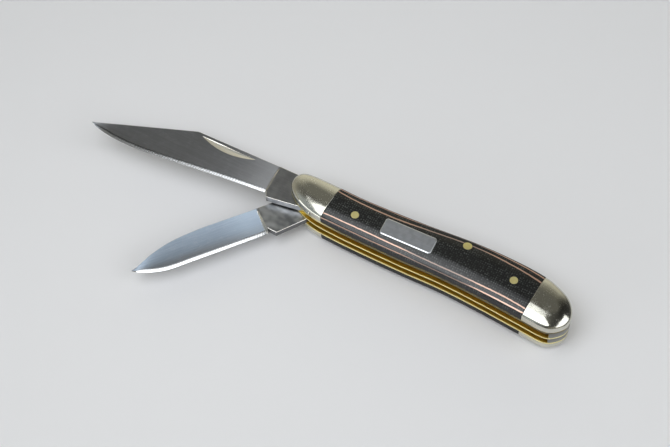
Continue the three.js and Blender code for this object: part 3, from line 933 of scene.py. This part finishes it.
def laminate(g, colours, sizes, side):
    """Dark cloth laminate: layers of canvas cut through by the dome, with thin copper-coloured layers between."""
    place = g.millimetres(-RUN_TURN)
    x, y, z = g.split(g.millimetres())
    height = z - (STACK_HEIGHT - DOME_HEIGHT) if side == "mark" else DOME_HEIGHT - z
    back = (y - (x * math.tan(RUN_TURN) + 0.6)).step(-0.5, 0.5)

    level = (height + (g.noise(place, 0.35) - 0.5) * 0.12) / SHEET_THICKNESS
    sheet = g.maths("FLOOR", level)
    tone = g.shader("TexWhiteNoise", {"W": sheet}, "Value", noise_dimensions="1D")
    seam = abs(level - sheet - 0.5).step(0.3, 0.48)

    threads = g.shader("TexVoronoi", {
        "Vector": g.millimetres(-RUN_TURN, shift=(0.3, 0.1, 0)), "Scale": MM / sizes.weave_pitch,
        "Randomness": 0.42}, "Distance", voronoi_dimensions="2D")
    bright = g.shader("SeparateColor", {0: threads.other("Color")})
    fray = g.noise(place, 3.4, 2.0, 0.6)
    knots = (threads + (fray - 0.5) * 0.35).step(0.45, 0.14)
    rows = g.grain(-RUN_TURN, (0.05, 1.7, 1)).step(0.38, 0.62)
    patches = g.noise(place, 0.22).step(0.3, 0.7)
    shade = knots * (bright.step(0.1, 0.8) * 0.7 + 0.15) * (tone * 0.3 + rows * 0.55 + patches * 0.35 + 0.05)
    # Painted shade: the cloth is dimmed on the walls below the dome, so that they stand darker.
    shade = shade * (height.step(-0.05, 0.2) * 0.6 + 0.4)
    base = g.mix((shade + fray.step(0.55, 0.8) * 0.1).clamped(), colours.laminate, colours.laminate_thread)
    base = g.mix(seam * height.step(1.4, 1.0) * 0.6, base, (0.05, 0.051, 0.054))

    lines = layer_lines(g, x, height + (g.noise(place, 1.1) - 0.5) * 0.04, back, sizes)
    # Painted shade: about the middle of the handle the layer lines are made greyer and less metallic, where they
    # catch less sheen.
    painted_dull_middle = abs(x - DULL_LINES_MIDDLE).step(11.0, 5.0) * 0.55
    tint = g.mix(g.grain(0.0, (0.6, 5, 5)) * 0.4, colours.layer_line, times(colours.layer_line, 0.7))
    base = g.mix(lines, base, g.mix(painted_dull_middle, tint, (0.22, 0.2, 0.19)))

    streaks = g.grain(-RUN_TURN, (0.09, 6, 6), 2.0, 0.6)
    rough = 0.24 + knots * 0.05 + streaks * 0.1 + patches * 0.04
    relief = knots * 0.3 + streaks * 0.5 + seam * 0.15
    # Painted shade through the gloss: the coat is kept to the belly-facing dome and taken off the walls and the
    # lower back, so these stay dark.
    lit_side_coat = height.step(-0.1, 0.25) * (0.85 - back * height.step(1.5, 0.9) * 0.85)
    g.surface(Base_Color=base, Metallic=lines * 0.7 * (1.0 - painted_dull_middle), Roughness=rough, Specular_IOR_Level=0.17,
              Coat_Weight=lit_side_coat, Coat_Roughness=0.26, Coat_IOR=1.5, Normal=g.bump(relief, 0.009, 0.5))


def brass(g, colours, kind):
    """Brass: filmed over in the wells, rubbed bright on the edges, and painted dark along the mark liner's edge as
    painted shade.
    """
    grain, cloud = g.grain(0.06, (0.25, 6, 6), 3.0, 0.6), g.cloud(0.35, 4.0, 0.6)
    spots = g.cloud(3.2).step(0.62, 0.72)
    metal, dull, spotted, rough, film = (
        (colours.well_brass, 0.5, 0.25, 0.24, 0.92) if kind == "well" else (colours.brass, 0.15, 0.1, 0.2, 1.0))
    base = g.mix(cloud.step(0.35, 0.75) * dull, metal, colours.brass_tarnish)
    base = g.mix(spots * spotted, base, times(colours.brass_tarnish, 0.5))
    if kind == "edge_mark":
        x = g.split(g.millimetres())[0]
        # Painted shade: the mark liner's edge is darkened from about 1 mm behind the pivot, fully from 13 mm on.
        base = g.mix(x.step(1.0, 13.0) * (0.85 + cloud * 0.15), base, (0.09, 0.076, 0.035))
    g.metal(base, rough + grain * 0.12 + cloud * 0.05 + spots * 0.06, grain, 0.008, 0.6, film)


def pin_brass(g, colours):
    """Brass pins, filed flush: fine crossed marks."""
    marks, cross = g.grain(0.7, (0.8, 11, 1), 3.0, 0.6), g.grain(-0.5, (0.8, 9, 1))
    pale = [0.75 * c + 0.25 * m for c, m in zip(colours.brass, (0.5, 0.4, 0.1))]
    base = g.mix(g.cloud(0.9).step(0.35, 0.7) * 0.45, pale, times(pale, 0.8))
    g.metal(base, 0.34 + marks * 0.12 + cross * 0.08, marks + cross * 0.6, 0.007, 0.7)


def satin_steel(g, steel, turn, zone, painted_face_light=False):
    """Satin steel with fine lines along the blade and a few crossing them.

    It is painted lighter in a zone along the blade, before the plunge, and towards the tip. With painted_face_light
    the steel keeps its own colour along the upper face only and the lower face is painted a darker grey: painted
    light and shade across the face.
    """
    start, end = zone
    brushed = g.grain(-turn, (0.12, 11, 3), 3.0, 0.7)
    coarse = g.grain(-turn, (0.08, 3.2, 1), 3.0, 0.7)
    cloud = g.grain(-turn, (0.16, 0.45, 0.4), 3.0, 0.6)
    scratch = fine_scratches(g, -turn + 0.12, 12.0) + fine_scratches(g, -turn - 0.4, 7.0, 0.66)
    x, y, _ = g.split(g.millimetres(-turn))
    base = steel
    if painted_face_light:
        # Painted light and shade: the upper face keeps the steel's lighter colour, the lower face is painted a
        # darker grey.
        face = (y + (cloud - 0.5) * 1.2).step(-1.6, 1.4) * x.step(end + 0.1, end - 0.1)
        base = g.mix(face, [sum(steel) / 3 * 0.7] * 3, steel)
    base = g.mix(coarse.step(0.3, 0.7) * 0.3 + brushed.step(0.25, 0.75) * 0.2, base, times(steel, 0.6))
    # Painted light: the face is lightened in a zone before the plunge and towards the tip.
    light = x.step(start, end) * x.step(end + 0.2, end - 0.2) + x.step(-50.0, -60.0)
    base = g.mix(light * 0.4, base, times(steel, 1.9))
    smear = g.grain(-turn + 0.9, (0.3, 0.42, 1), 1.5).step(0.36, 0.72) * x.step(end, end + 0.4)
    base = g.mix(smear * (0.7 if painted_face_light else 0.2), base, (0.66, 0.67, 0.68))
    base = g.mix(scratch.clamped() * 0.4, base, (0.5, 0.51, 0.53))
    rough = 0.2 + brushed * 0.1 + coarse * 0.06 + cloud * 0.06
    g.metal(base, rough, brushed * 0.5 + coarse * 0.6 - scratch * 0.3, 0.005, 0.5)


def ground_edge(g, steel, turn):
    """Ground edge: bright, with short wheel marks across it, and painted dark where it leaves the blade's face:
    painted shade that narrows its highlight.
    """
    marks = g.grain(-turn + 0.15, (5.5, 0.35, 1), 3.0, 0.65)
    place = g.millimetres(-turn + 0.3)
    phase = (g.split(place)[0] + g.noise(place, 0.8, 1.0) * 0.5) * (2 * math.pi / WHEEL_MARK_PITCH)
    wave = g.maths("SINE", phase) * 0.5 + 0.5
    across = g.shader("Attribute", {}, "Fac", attribute_name="bevel")
    # Painted shade: the bevel is darkened near its shoulder, so its highlight reads as a narrower band.
    lit = (across + wave * 0.1 + (marks - 0.5) * 0.3).step(0.12, 0.62)
    base = g.mix(lit, times(steel, 0.13), g.mix(marks.step(0.3, 0.75) * 0.5, steel, times(steel, 0.88)))
    g.metal(base, 0.14 + marks * 0.1, wave * 0.6 + marks * 0.2, 0.008, 0.45)


def cut_steel(g, turn):
    """Nail nick, plunge, chamfer and rims: bright, with the cutter's fine marks along them."""
    marks = g.grain(-turn, (0.3, 8, 8), 2.0, 0.6)
    base = g.mix(marks.step(0.3, 0.7), (0.95, 0.94, 0.92), (0.9, 0.85, 0.76))
    g.metal(base, 0.13 + marks * 0.1, marks, 0.006, 0.6)


def spring_steel(g, steel):
    """Back springs: steel polished along the back."""
    grain, cloud = g.grain(0.08, (0.18, 7, 7), 3.0, 0.65), g.cloud(0.4, 3.0)
    base = g.mix(cloud.step(0.35, 0.7) * 0.4, steel, times(steel, 0.78))
    g.metal(base, 0.2 + grain * 0.16 + cloud * 0.05, grain, 0.007, 0.6)


def floor_paint(g, paint):
    """Plain pale floor with the faintest unevenness."""
    cloud = g.noise(g.shader("TexCoord", {}, "Object"), 6.0)
    g.surface(Base_Color=g.mix(cloud * 0.25, paint, times(paint, 0.97)), Roughness=0.75 + cloud * 0.05)


# Pieces

def knife_sizes():
    return bpy.context.scene.knife_sizes


def knife_colours():
    return bpy.context.scene.knife_colours


def drilled(piece, low, high, *pins):
    """Cuts the holes of some pins, with the gap round them."""
    for pin in pins:
        radius, place = PINS[pin]
        carved(piece, rod(radius + knife_sizes().pin_gap / MM, low - 1, high + 1, place))


def two_tone(piece, flat):
    """Gives a piece's second material to the faces that don't lie flat."""
    for face in piece.data.polygons:
        face.material_index = 0 if abs(face.normal.z) > flat else 1


def build_bolsters():
    sizes = knife_sizes()
    silver = material_of("nickel_silver_polished", nickel_silver, knife_colours().nickel_silver)
    for end, joint, ridge_end in (("front", FRONT_JOINT - JOINT_GAP / 2, RIDGE_FRONT),
                                  ("rear", REAR_JOINT + JOINT_GAP / 2, RIDGE_REAR)):
        for side in ("mark", "pile"):
            node = f"{end}_bolster_{side}"
            piece = bolster(f"{node}_polished", joint, ridge_end, sizes.edge_round / MM, sizes.joint_round / MM)
            if side == "pile":
                mirrored(piece)
            finished(piece, [silver], "handle", node)


def rounded_bar(margin):
    """The shield's outline, grown by a margin."""
    corner = SHIELD_CORNER + margin
    points = []
    for start, sx, sy in ((-90, 1, -1), (0, 1, 1), (90, -1, 1), (180, -1, -1)):
        cx, cy = sx * (SHIELD_LENGTH / 2 - SHIELD_CORNER), sy * (SHIELD_WIDTH / 2 - SHIELD_CORNER)
        for a in np.radians(np.linspace(start, start + 90, 14)):
            points.append((cx + corner * math.cos(a), cy + corner * math.sin(a)))
    return np.array(points)


def build_scales():
    sizes = knife_sizes()
    for side in ("mark", "pile"):
        piece = scale_cover(f"scale_{side}_laminate", sizes.edge_round / MM, sizes.joint_round / MM)
        drilled(piece, STACK_HEIGHT - COVER_HEIGHT, STACK_HEIGHT, "front_scale", "rear_scale", "middle")
        if side == "mark":
            ring = rounded_bar(RECESS_GAP)
            levels = STACK_HEIGHT - SHIELD_THICKNESS, STACK_HEIGHT + 1
            tool = stacked("cutter", [at_level(ring, level) for level in levels])
            tool.data.transform(SHIELD_TURN_AND_PLACE)
            carved(piece, tool)
        else:
            mirrored(piece)
        material = material_of(f"laminate_{side}", laminate, knife_colours(), sizes, side)
        finished(piece, [material], "handle", f"scale_{side}", even=False)


def build_shield():
    rim = knife_sizes().shield_rim / MM
    rings = [at_level(rounded_bar(0), STACK_HEIGHT - SHIELD_THICKNESS)]
    for share in (0, 0.2, 0.4, 0.6, 0.8, 1):
        drop = rim * SHIELD_RIM_SLOPE * (1 - share) ** 1.4
        rings.append(at_level(rounded_bar(-rim * share), STACK_HEIGHT - drop))
    piece = stacked("shield_bar", rings)
    materials = [material_of("shield_face", shield_face, knife_colours().shield_silver),
                 material_of("shield_rim", shield_rim)]
    finished(piece, materials, "handle", "shield", sharp=20, turn=SHIELD_TURN_AND_PLACE)
    two_tone(piece, 0.999)


def build_liners():
    well, rubbed, shaded_edge = (material_of(f"brass_{kind}", brass, knife_colours(), kind)
                             for kind in ("well", "edge", "edge_mark"))
    for name in ("mark", "centre", "pile"):
        node = f"liner_{name}"
        low, high = levels_of(node)
        outline = respaced(OUTLINE, OUTLINE_SPACING, True)
        piece = plate(f"{node}_brass", outline, low, high, knife_sizes().plate_round / MM)
        drilled(piece, low, high, "pivot", "middle", "rear")
        if name != "centre":
            drilled(piece, low, high, "front_scale", "rear_scale")
        finished(piece, [well, shaded_edge if name == "mark" else rubbed], "handle", node)
        two_tone(piece, 0.9)


def spring_outline():
    """Plan of a back spring: over the back, round the butt, up the well's end and along the well."""
    face = TANG_ROUND + SPRING_GAP
    tip_x = -SPRING_TIP_REACH - TIP_RAKE * 0.013
    outer = respaced(BACK_LINE[::-1], OUTLINE_SPACING)
    outer = outer[outer[:, 0] > tip_x]
    corner_x = WELL_END + FOOT_CORNER
    corner_y = belly_at(corner_x) + FOOT_CORNER
    butt = BELLY_LINE[BELLY_LINE[:, 0] > corner_x][-2::-1]
    corner = [(corner_x - FOOT_CORNER * math.sin(a), corner_y - FOOT_CORNER * math.cos(a))
              for a in np.radians(np.linspace(0, 90, 7))]
    inner = np.array(on_handle(SPRING_INNER_CURVE))
    top = inner[-1][1]
    t = np.linspace(0, 1, 26)[:, None]
    a, b = inner[-1], np.array((WELL_END - WELL_END_RADIUS / 3, top))
    c, d = np.array((WELL_END, top - WELL_END_RADIUS / 2)), np.array((WELL_END, top - WELL_END_RADIUS))
    bend = a * (1 - t) ** 3 + 3 * b * t * (1 - t) ** 2 + 3 * c * t**2 * (1 - t) + d * t**3
    ramp = np.array([(SPRING_PAD_END + SPRING_PAD_RAMP, SPRING_FACE_AT_KICK)])
    under = open_curve(np.vstack([ramp, inner]), 20)
    return np.vstack([
        [(tip_x, back_at(tip_x))], outer, butt, corner,
        bend[::-1], under[::-1][1:], [(SPRING_PAD_END, face)], [(-SPRING_TIP_REACH, face)],
    ])


def build_springs():
    steel = material_of("spring_steel_polished", spring_steel, knife_colours().spring_steel)
    for name in ("clip_spring", "pen_spring"):
        low, high = levels_of(name)
        piece = plate(f"{name}_steel", spring_outline(), low, high, knife_sizes().plate_round / MM)
        drilled(piece, low, high, "middle", "rear")
        finished(piece, [steel], "handle", name)


def pin_tree(material):
    """Geometry nodes: a round pin stood on each point, its two ends laid flush with the domes."""
    tree = bpy.data.node_groups.new("pins", "GeometryNodeTree")
    sockets = [("Geometry", "INPUT", "Geometry")] + [(name, "INPUT", "Float") for name in ("Radius", "Low", "High")]
    for name, way, kind in sockets + [("Dome", "INPUT", "Object"), ("Geometry", "OUTPUT", "Geometry")]:
        tree.interface.new_socket(name=name, in_out=way, socket_type=f"NodeSocket{kind}")
    g = Graph(tree)
    given = g.add("NodeGroupInput", {}, "Geometry")
    low, high = given.other("Low"), given.other("High")
    body = g.add("GeometryNodeMeshCylinder", {
        "Vertices": 64, "Side Segments": 4, "Fill Segments": 7, "Radius": given.other("Radius"),
        "Depth": high - low}, "Mesh", fill_type="TRIANGLE_FAN")
    lifted = g.add("GeometryNodeTransform", {
        "Geometry": body, "Translation": g.point(0.0, 0.0, (low + high) * 0.5)})
    spread = g.add("GeometryNodeInstanceOnPoints", {"Points": given, "Instance": lifted})
    shaped = g.add("GeometryNodeRealizeInstances", {"Geometry": spread})
    x, y, level = g.split(g.add("GeometryNodeInputPosition"))
    dome = g.add("GeometryNodeObjectInfo", {"Object": given.other("Dome")}, "Geometry", transform_space="RELATIVE")
    for end, way in ((high, -1.0), (low, 1.0)):
        hit = g.add("GeometryNodeRaycast", {
            "Target Geometry": dome, "Source Position": g.point(x, y, end + (-30.0 * way)),
            "Ray Direction": (0, 0, way), "Ray Length": 60.0}, "Is Hit")
        moved = g.point(x, y, g.split(hit.other("Hit Position"))[2])
        at_end = g.maths("LESS_THAN", abs(level - end), 0.001)
        picked = g.add("FunctionNodeBooleanMath", {0: at_end, 1: hit}, operation="AND")
        shaped = g.add("GeometryNodeSetPosition", {"Geometry": shaped, "Selection": picked, "Position": moved})
    done = g.add("GeometryNodeSetMaterial", {"Geometry": shaped, "Material": material})
    g.add("NodeGroupOutput", {0: done})
    return tree


def make_pin(name, node, tree, material, pin, low, high, dome=None):
    """One pin, made by the tree at its place."""
    radius, (x, y) = PINS[pin]
    point = bpy.data.meshes.new(name)
    point.from_pydata([(x, y, 0)], [], [])
    piece = linked(name, point)
    modifier = piece.modifiers.new("pins", "NODES")
    modifier.node_group = tree
    values = {"Radius": radius, "Low": low, "High": high, "Dome": dome}
    for item in tree.interface.items_tree:
        if item.in_out == "INPUT" and item.name in values:
            modifier[item.identifier] = values[item.name]
    settled(piece)
    finished(piece, [material], "handle", node, sharp=40, even=False)


def build_pins():
    bright = material_of("pin_brass", pin_brass, knife_colours())
    steel = material_of("spring_steel_polished", spring_steel, knife_colours().spring_steel)
    flush, plain = pin_tree(bright), pin_tree(steel)
    dome = stacked("dome", whole_rings())
    make_pin("middle_pin_brass", "middle_spring_pin", flush, bright, "middle",
             PIN_END_DROP, STACK_HEIGHT - PIN_END_DROP, dome)
    mark, pile = levels_of("liner_mark"), levels_of("liner_pile")
    for side, low, high in (("mark", mark[0], STACK_HEIGHT), ("pile", 0, pile[1])):
        for end in ("front", "rear"):
            node = f"{end}_scale_pin_{side}"
            make_pin(f"{node}_brass", node, flush, bright, f"{end}_scale", low, high)
    for name, node in (("pivot", "pivot_pin"), ("rear", "rear_spring_pin")):
        make_pin(f"{name}_pin_steel", node, plain, steel, name, pile[0], mark[1])
    bpy.data.meshes.remove(dome.data)


def whole_rings():
    """Rings of the handle's whole outside over the scales, for the pins to lie flush with."""
    rows = []
    for x in np.linspace(FRONT_JOINT, REAR_JOINT, 240):
        ridge = ridge_at(x)
        upper = section_of(back_at(x) - ridge, 0.1, 0)[WALL_TOP:]
        lower = section_of(ridge - belly_at(x), 0.1, 0)[WALL_TOP:]
        half = [(x, ridge + u, z) for u, z in upper] + [(x, ridge - u, z) for u, z in lower[::-1][1:]]
        rows.append(np.array(half + [(x, y, STACK_HEIGHT - z) for x, y, z in half[::-1]]))
    return rows


def build_blades():
    colours = knife_colours()
    for name, blade, turn, steel, wall, painted_face_light in (
            ("clip", clip_blade(), OPEN_TURN, colours.clip_steel, 1.0, False),
            ("pen", pen_blade(), PEN_TURN, colours.pen_steel, 0.4, True)):
        node = f"{name}_blade"
        piece = blade_piece(f"{node}_steel", blade, knife_sizes().edge_round / MM)
        kinds = [blade.finish_of(face) for face in piece.data.polygons]
        shares = [blade.across_bevel(vertex.co) for vertex in piece.data.vertices]
        piece.data.attributes.new("bevel", "FLOAT", "POINT").data.foreach_set("value", shares)
        low, high = levels_of(node)
        place = Matrix.Translation((0, 0, (low + high) / 2)) @ Matrix.Rotation(turn, 4, "Z")
        zone = [blade.start - reach for reach in PAINTED_LIGHT_ZONE]
        # Painted shade: the pen's tang walls get 0.4 of the wall steel's colour, so that they stand darker.
        wall_steel = times(colours.wall_steel, wall)
        materials = {
            SATIN: material_of(f"{node}_satin", satin_steel, steel, turn, zone, painted_face_light),
            EDGE: material_of(f"{node}_edge", ground_edge, colours.bright_steel, turn),
            CUT: material_of(f"{node}_nick", cut_steel, turn),
            WALL: material_of(f"{node}_wall", satin_steel, wall_steel, turn + 0.5, BEYOND_BLADE),
        }
        finished(piece, materials.values(), name, node, sharp=5, turn=place)
        if len(kinds) != len(piece.data.polygons):
            raise RuntimeError("the blade's faces changed while it was finished")
        for face, kind in zip(piece.data.polygons, kinds):
            face.material_index = kind


# Studio

def studio_lamp(name, low, high, width, radiance, flaps=()):
    """A soft box that faces the knife, from the middle of its lower edge to the middle of its upper edge.

    A flap hides a corner of the box. It is given by its straight edges: the turn of an edge's normal from the
    box's own right, in degrees, and the edge's distance from the middle of the box. Light passes beside any edge.
    """
    low, high = Vector(low), Vector(high)
    rise = high - low
    height = rise.length
    rise.normalize()
    middle = (low + high) / 2
    way = (middle - rise * middle.dot(rise)).normalized()
    right = rise.cross(way)
    lamp = bpy.data.lights.new(name, "AREA")
    lamp.shape = "RECTANGLE"
    lamp.size, lamp.size_y = width, height
    lamp.energy = radiance * math.pi * width * height
    turn = Matrix((right, rise, way)).transposed().to_4x4()
    linked(name, lamp).matrix_world = Matrix.Translation(middle) @ turn
    lamp.use_nodes = True
    g = Graph(lamp.node_tree)
    place = g.shader("NewGeometry", {}, "Position")
    shape = 1.0
    for edges in flaps:
        passed = None
        for angle, distance in edges:
            normal = right * math.cos(math.radians(angle)) + rise * math.sin(math.radians(angle))
            limit = distance + middle.dot(normal)
            beside = g.dot(place, normal).step(limit + FLAP_SOFTNESS, limit - FLAP_SOFTNESS)
            passed = g.maths("MAXIMUM", passed, beside) if passed else beside
        shape = passed * shape
    glow = g.shader("Emission", {"Color": LAMP_TINT, "Strength": shape})
    g.shader("OutputLight", {"Surface": glow})


def studio_world(studio):
    """A dim room: lit walls to the left and behind, a dark ceiling, and three soft patches in it."""
    world = bpy.data.worlds.new("studio")
    world.use_nodes = True
    bpy.context.scene.world = world
    g = Graph(world.node_tree)
    way = g.shader("TexCoord", {}, "Generated")
    level = g.split(way)[2]

    def towards(azimuth, elevation):
        a, e = math.radians(azimuth), math.radians(elevation)
        return g.dot(way, (math.cos(a) * math.cos(e), math.sin(a) * math.cos(e), math.sin(e)))

    flat = (1.001 - level * level) ** 0.5
    wall = g.mix((towards(190, 0) / flat).step(0.7, 0.95) * 0.45, studio.shade, studio.horizon)
    wall = g.mix((towards(118, 0) / flat).step(0.68, 0.99), wall, studio.horizon)
    ceiling = g.mix(towards(20, 0).step(-0.1, 0.3) * 0.6, studio.ceiling, (0, 0, 0))
    room = g.mix(level.step(0.37, 0.98), wall, ceiling)
    for azimuth, elevation, outside, inside, share, tint in (
            (62, 45, 0.84, 0.97, 0.7, (0.01, 0.01, 0.01)),
            (236, 42, 0.8, 0.97, 0.45, (0.6, 0.68, 0.74)),
            (318, 14, 0.8, 0.95, 0.25, studio.horizon)):
        room = g.mix(towards(azimuth, elevation).step(outside, inside) * share, room, tint)
    g.shader("OutputWorld", {"Surface": g.shader("Background", {"Color": room, "Strength": 1.0})})


def studio_camera(studio):
    data = bpy.data.cameras.new("camera")
    data.lens = studio.lens
    data.sensor_width = 36
    data.clip_start = 0.01
    data.clip_end = 20
    camera = linked("camera", data)
    right, down = Vector(CAMERA_RIGHT).normalized(), Vector(CAMERA_DOWN).normalized()
    x = right * math.cos(CAMERA_ROLL) + down * math.sin(CAMERA_ROLL)
    y = right * math.sin(CAMERA_ROLL) - down * math.cos(CAMERA_ROLL)
    turn = Matrix((x, y, x.cross(y))).transposed().to_4x4()
    camera.matrix_world = Matrix.Translation(CAMERA_PLACE) @ turn
    bpy.context.scene.camera = camera


def build_studio():
    studio = bpy.context.scene.knife_studio
    size = FLOOR_REACH
    floor = made("floor", [(-size, -size, 0), (size, -size, 0), (size, size, 0), (-size, size, 0)], [(0, 1, 2, 3)])
    if floor.data.polygons[0].normal.z < 0:
        floor.data.flip_normals()
    floor.data.materials.append(material_of("floor_pale", floor_paint, studio.floor))
    studio_world(studio)
    studio_lamp("overhead_box", (0.017, -0.178, 0.2175), (-0.0357, 0.1516, 0.4964), 0.27, studio.key, OVERHEAD_FLAPS)
    studio_lamp("right_box", (0.493, 0.01, 0.2), (0.29, 0.02, 0.49), 0.52, studio.fill, RIGHT_FLAPS)
    studio_lamp("low_box", (-0.222, -0.436, 0.03), (-0.195, -0.383, 0.17), 0.38, studio.side)
    studio_camera(studio)
    bpy.context.scene.view_settings.view_transform = "Standard"


# Operators and panel

class KNIFE_OT_bolsters(Operator):
    """Make the four domed bolsters"""
    bl_idname = "knife.bolsters"
    bl_label = "Bolsters"

    def execute(self, context):
        build_bolsters()
        return {"FINISHED"}


class KNIFE_OT_scales(Operator):
    """Make the two laminate scales"""
    bl_idname = "knife.scales"
    bl_label = "Scales"

    def execute(self, context):
        build_scales()
        return {"FINISHED"}


class KNIFE_OT_shield(Operator):
    """Make the shield in the mark scale"""
    bl_idname = "knife.shield"
    bl_label = "Shield"

    def execute(self, context):
        build_shield()
        return {"FINISHED"}


class KNIFE_OT_liners(Operator):
    """Make the three brass liners"""
    bl_idname = "knife.liners"
    bl_label = "Liners"

    def execute(self, context):
        build_liners()
        return {"FINISHED"}


class KNIFE_OT_springs(Operator):
    """Make the two back springs"""
    bl_idname = "knife.springs"
    bl_label = "Back springs"

    def execute(self, context):
        build_springs()
        return {"FINISHED"}


class KNIFE_OT_pins(Operator):
    """Make the pins with geometry nodes"""
    bl_idname = "knife.pins"
    bl_label = "Pins"

    def execute(self, context):
        build_pins()
        return {"FINISHED"}


class KNIFE_OT_blades(Operator):
    """Make the clip blade and the pen blade"""
    bl_idname = "knife.blades"
    bl_label = "Blades"

    def execute(self, context):
        build_blades()
        return {"FINISHED"}


class KNIFE_OT_studio(Operator):
    """Make the floor, the light and the camera"""
    bl_idname = "knife.studio"
    bl_label = "Studio"

    def execute(self, context):
        build_studio()
        return {"FINISHED"}


OPERATORS = (KNIFE_OT_bolsters, KNIFE_OT_scales, KNIFE_OT_shield, KNIFE_OT_liners, KNIFE_OT_springs,
             KNIFE_OT_pins, KNIFE_OT_blades, KNIFE_OT_studio)


class KNIFE_PT_pieces(Panel):
    """Sidebar panel with the knife's operators and values"""
    bl_idname = "KNIFE_PT_pieces"
    bl_label = "Pocket knife"
    bl_space_type = "VIEW_3D"
    bl_region_type = "UI"
    bl_category = "Knife"

    def draw(self, context):
        for operator in OPERATORS:
            self.layout.operator(operator.bl_idname)
        for group in (context.scene.knife_sizes, context.scene.knife_colours, context.scene.knife_studio):
            box = self.layout.box()
            for name in group.bl_rna.properties.keys():
                if name not in ("rna_type", "name"):
                    box.prop(group, name)


CLASSES = (KnifeSizes, KnifeColours, StudioSettings, *OPERATORS, KNIFE_PT_pieces)


def register():
    for cls in CLASSES:
        bpy.utils.register_class(cls)
    bpy.types.Scene.knife_sizes = PointerProperty(type=KnifeSizes)
    bpy.types.Scene.knife_colours = PointerProperty(type=KnifeColours)
    bpy.types.Scene.knife_studio = PointerProperty(type=StudioSettings)


def unregister():
    del bpy.types.Scene.knife_studio
    del bpy.types.Scene.knife_colours
    del bpy.types.Scene.knife_sizes
    for cls in reversed(CLASSES):
        bpy.utils.unregister_class(cls)


def main():
    register()
    bpy.ops.knife.bolsters()
    bpy.ops.knife.scales()
    bpy.ops.knife.shield()
    bpy.ops.knife.liners()
    bpy.ops.knife.springs()
    bpy.ops.knife.pins()
    bpy.ops.knife.blades()
    bpy.ops.knife.studio()


if __name__ == "__main__":
    main()
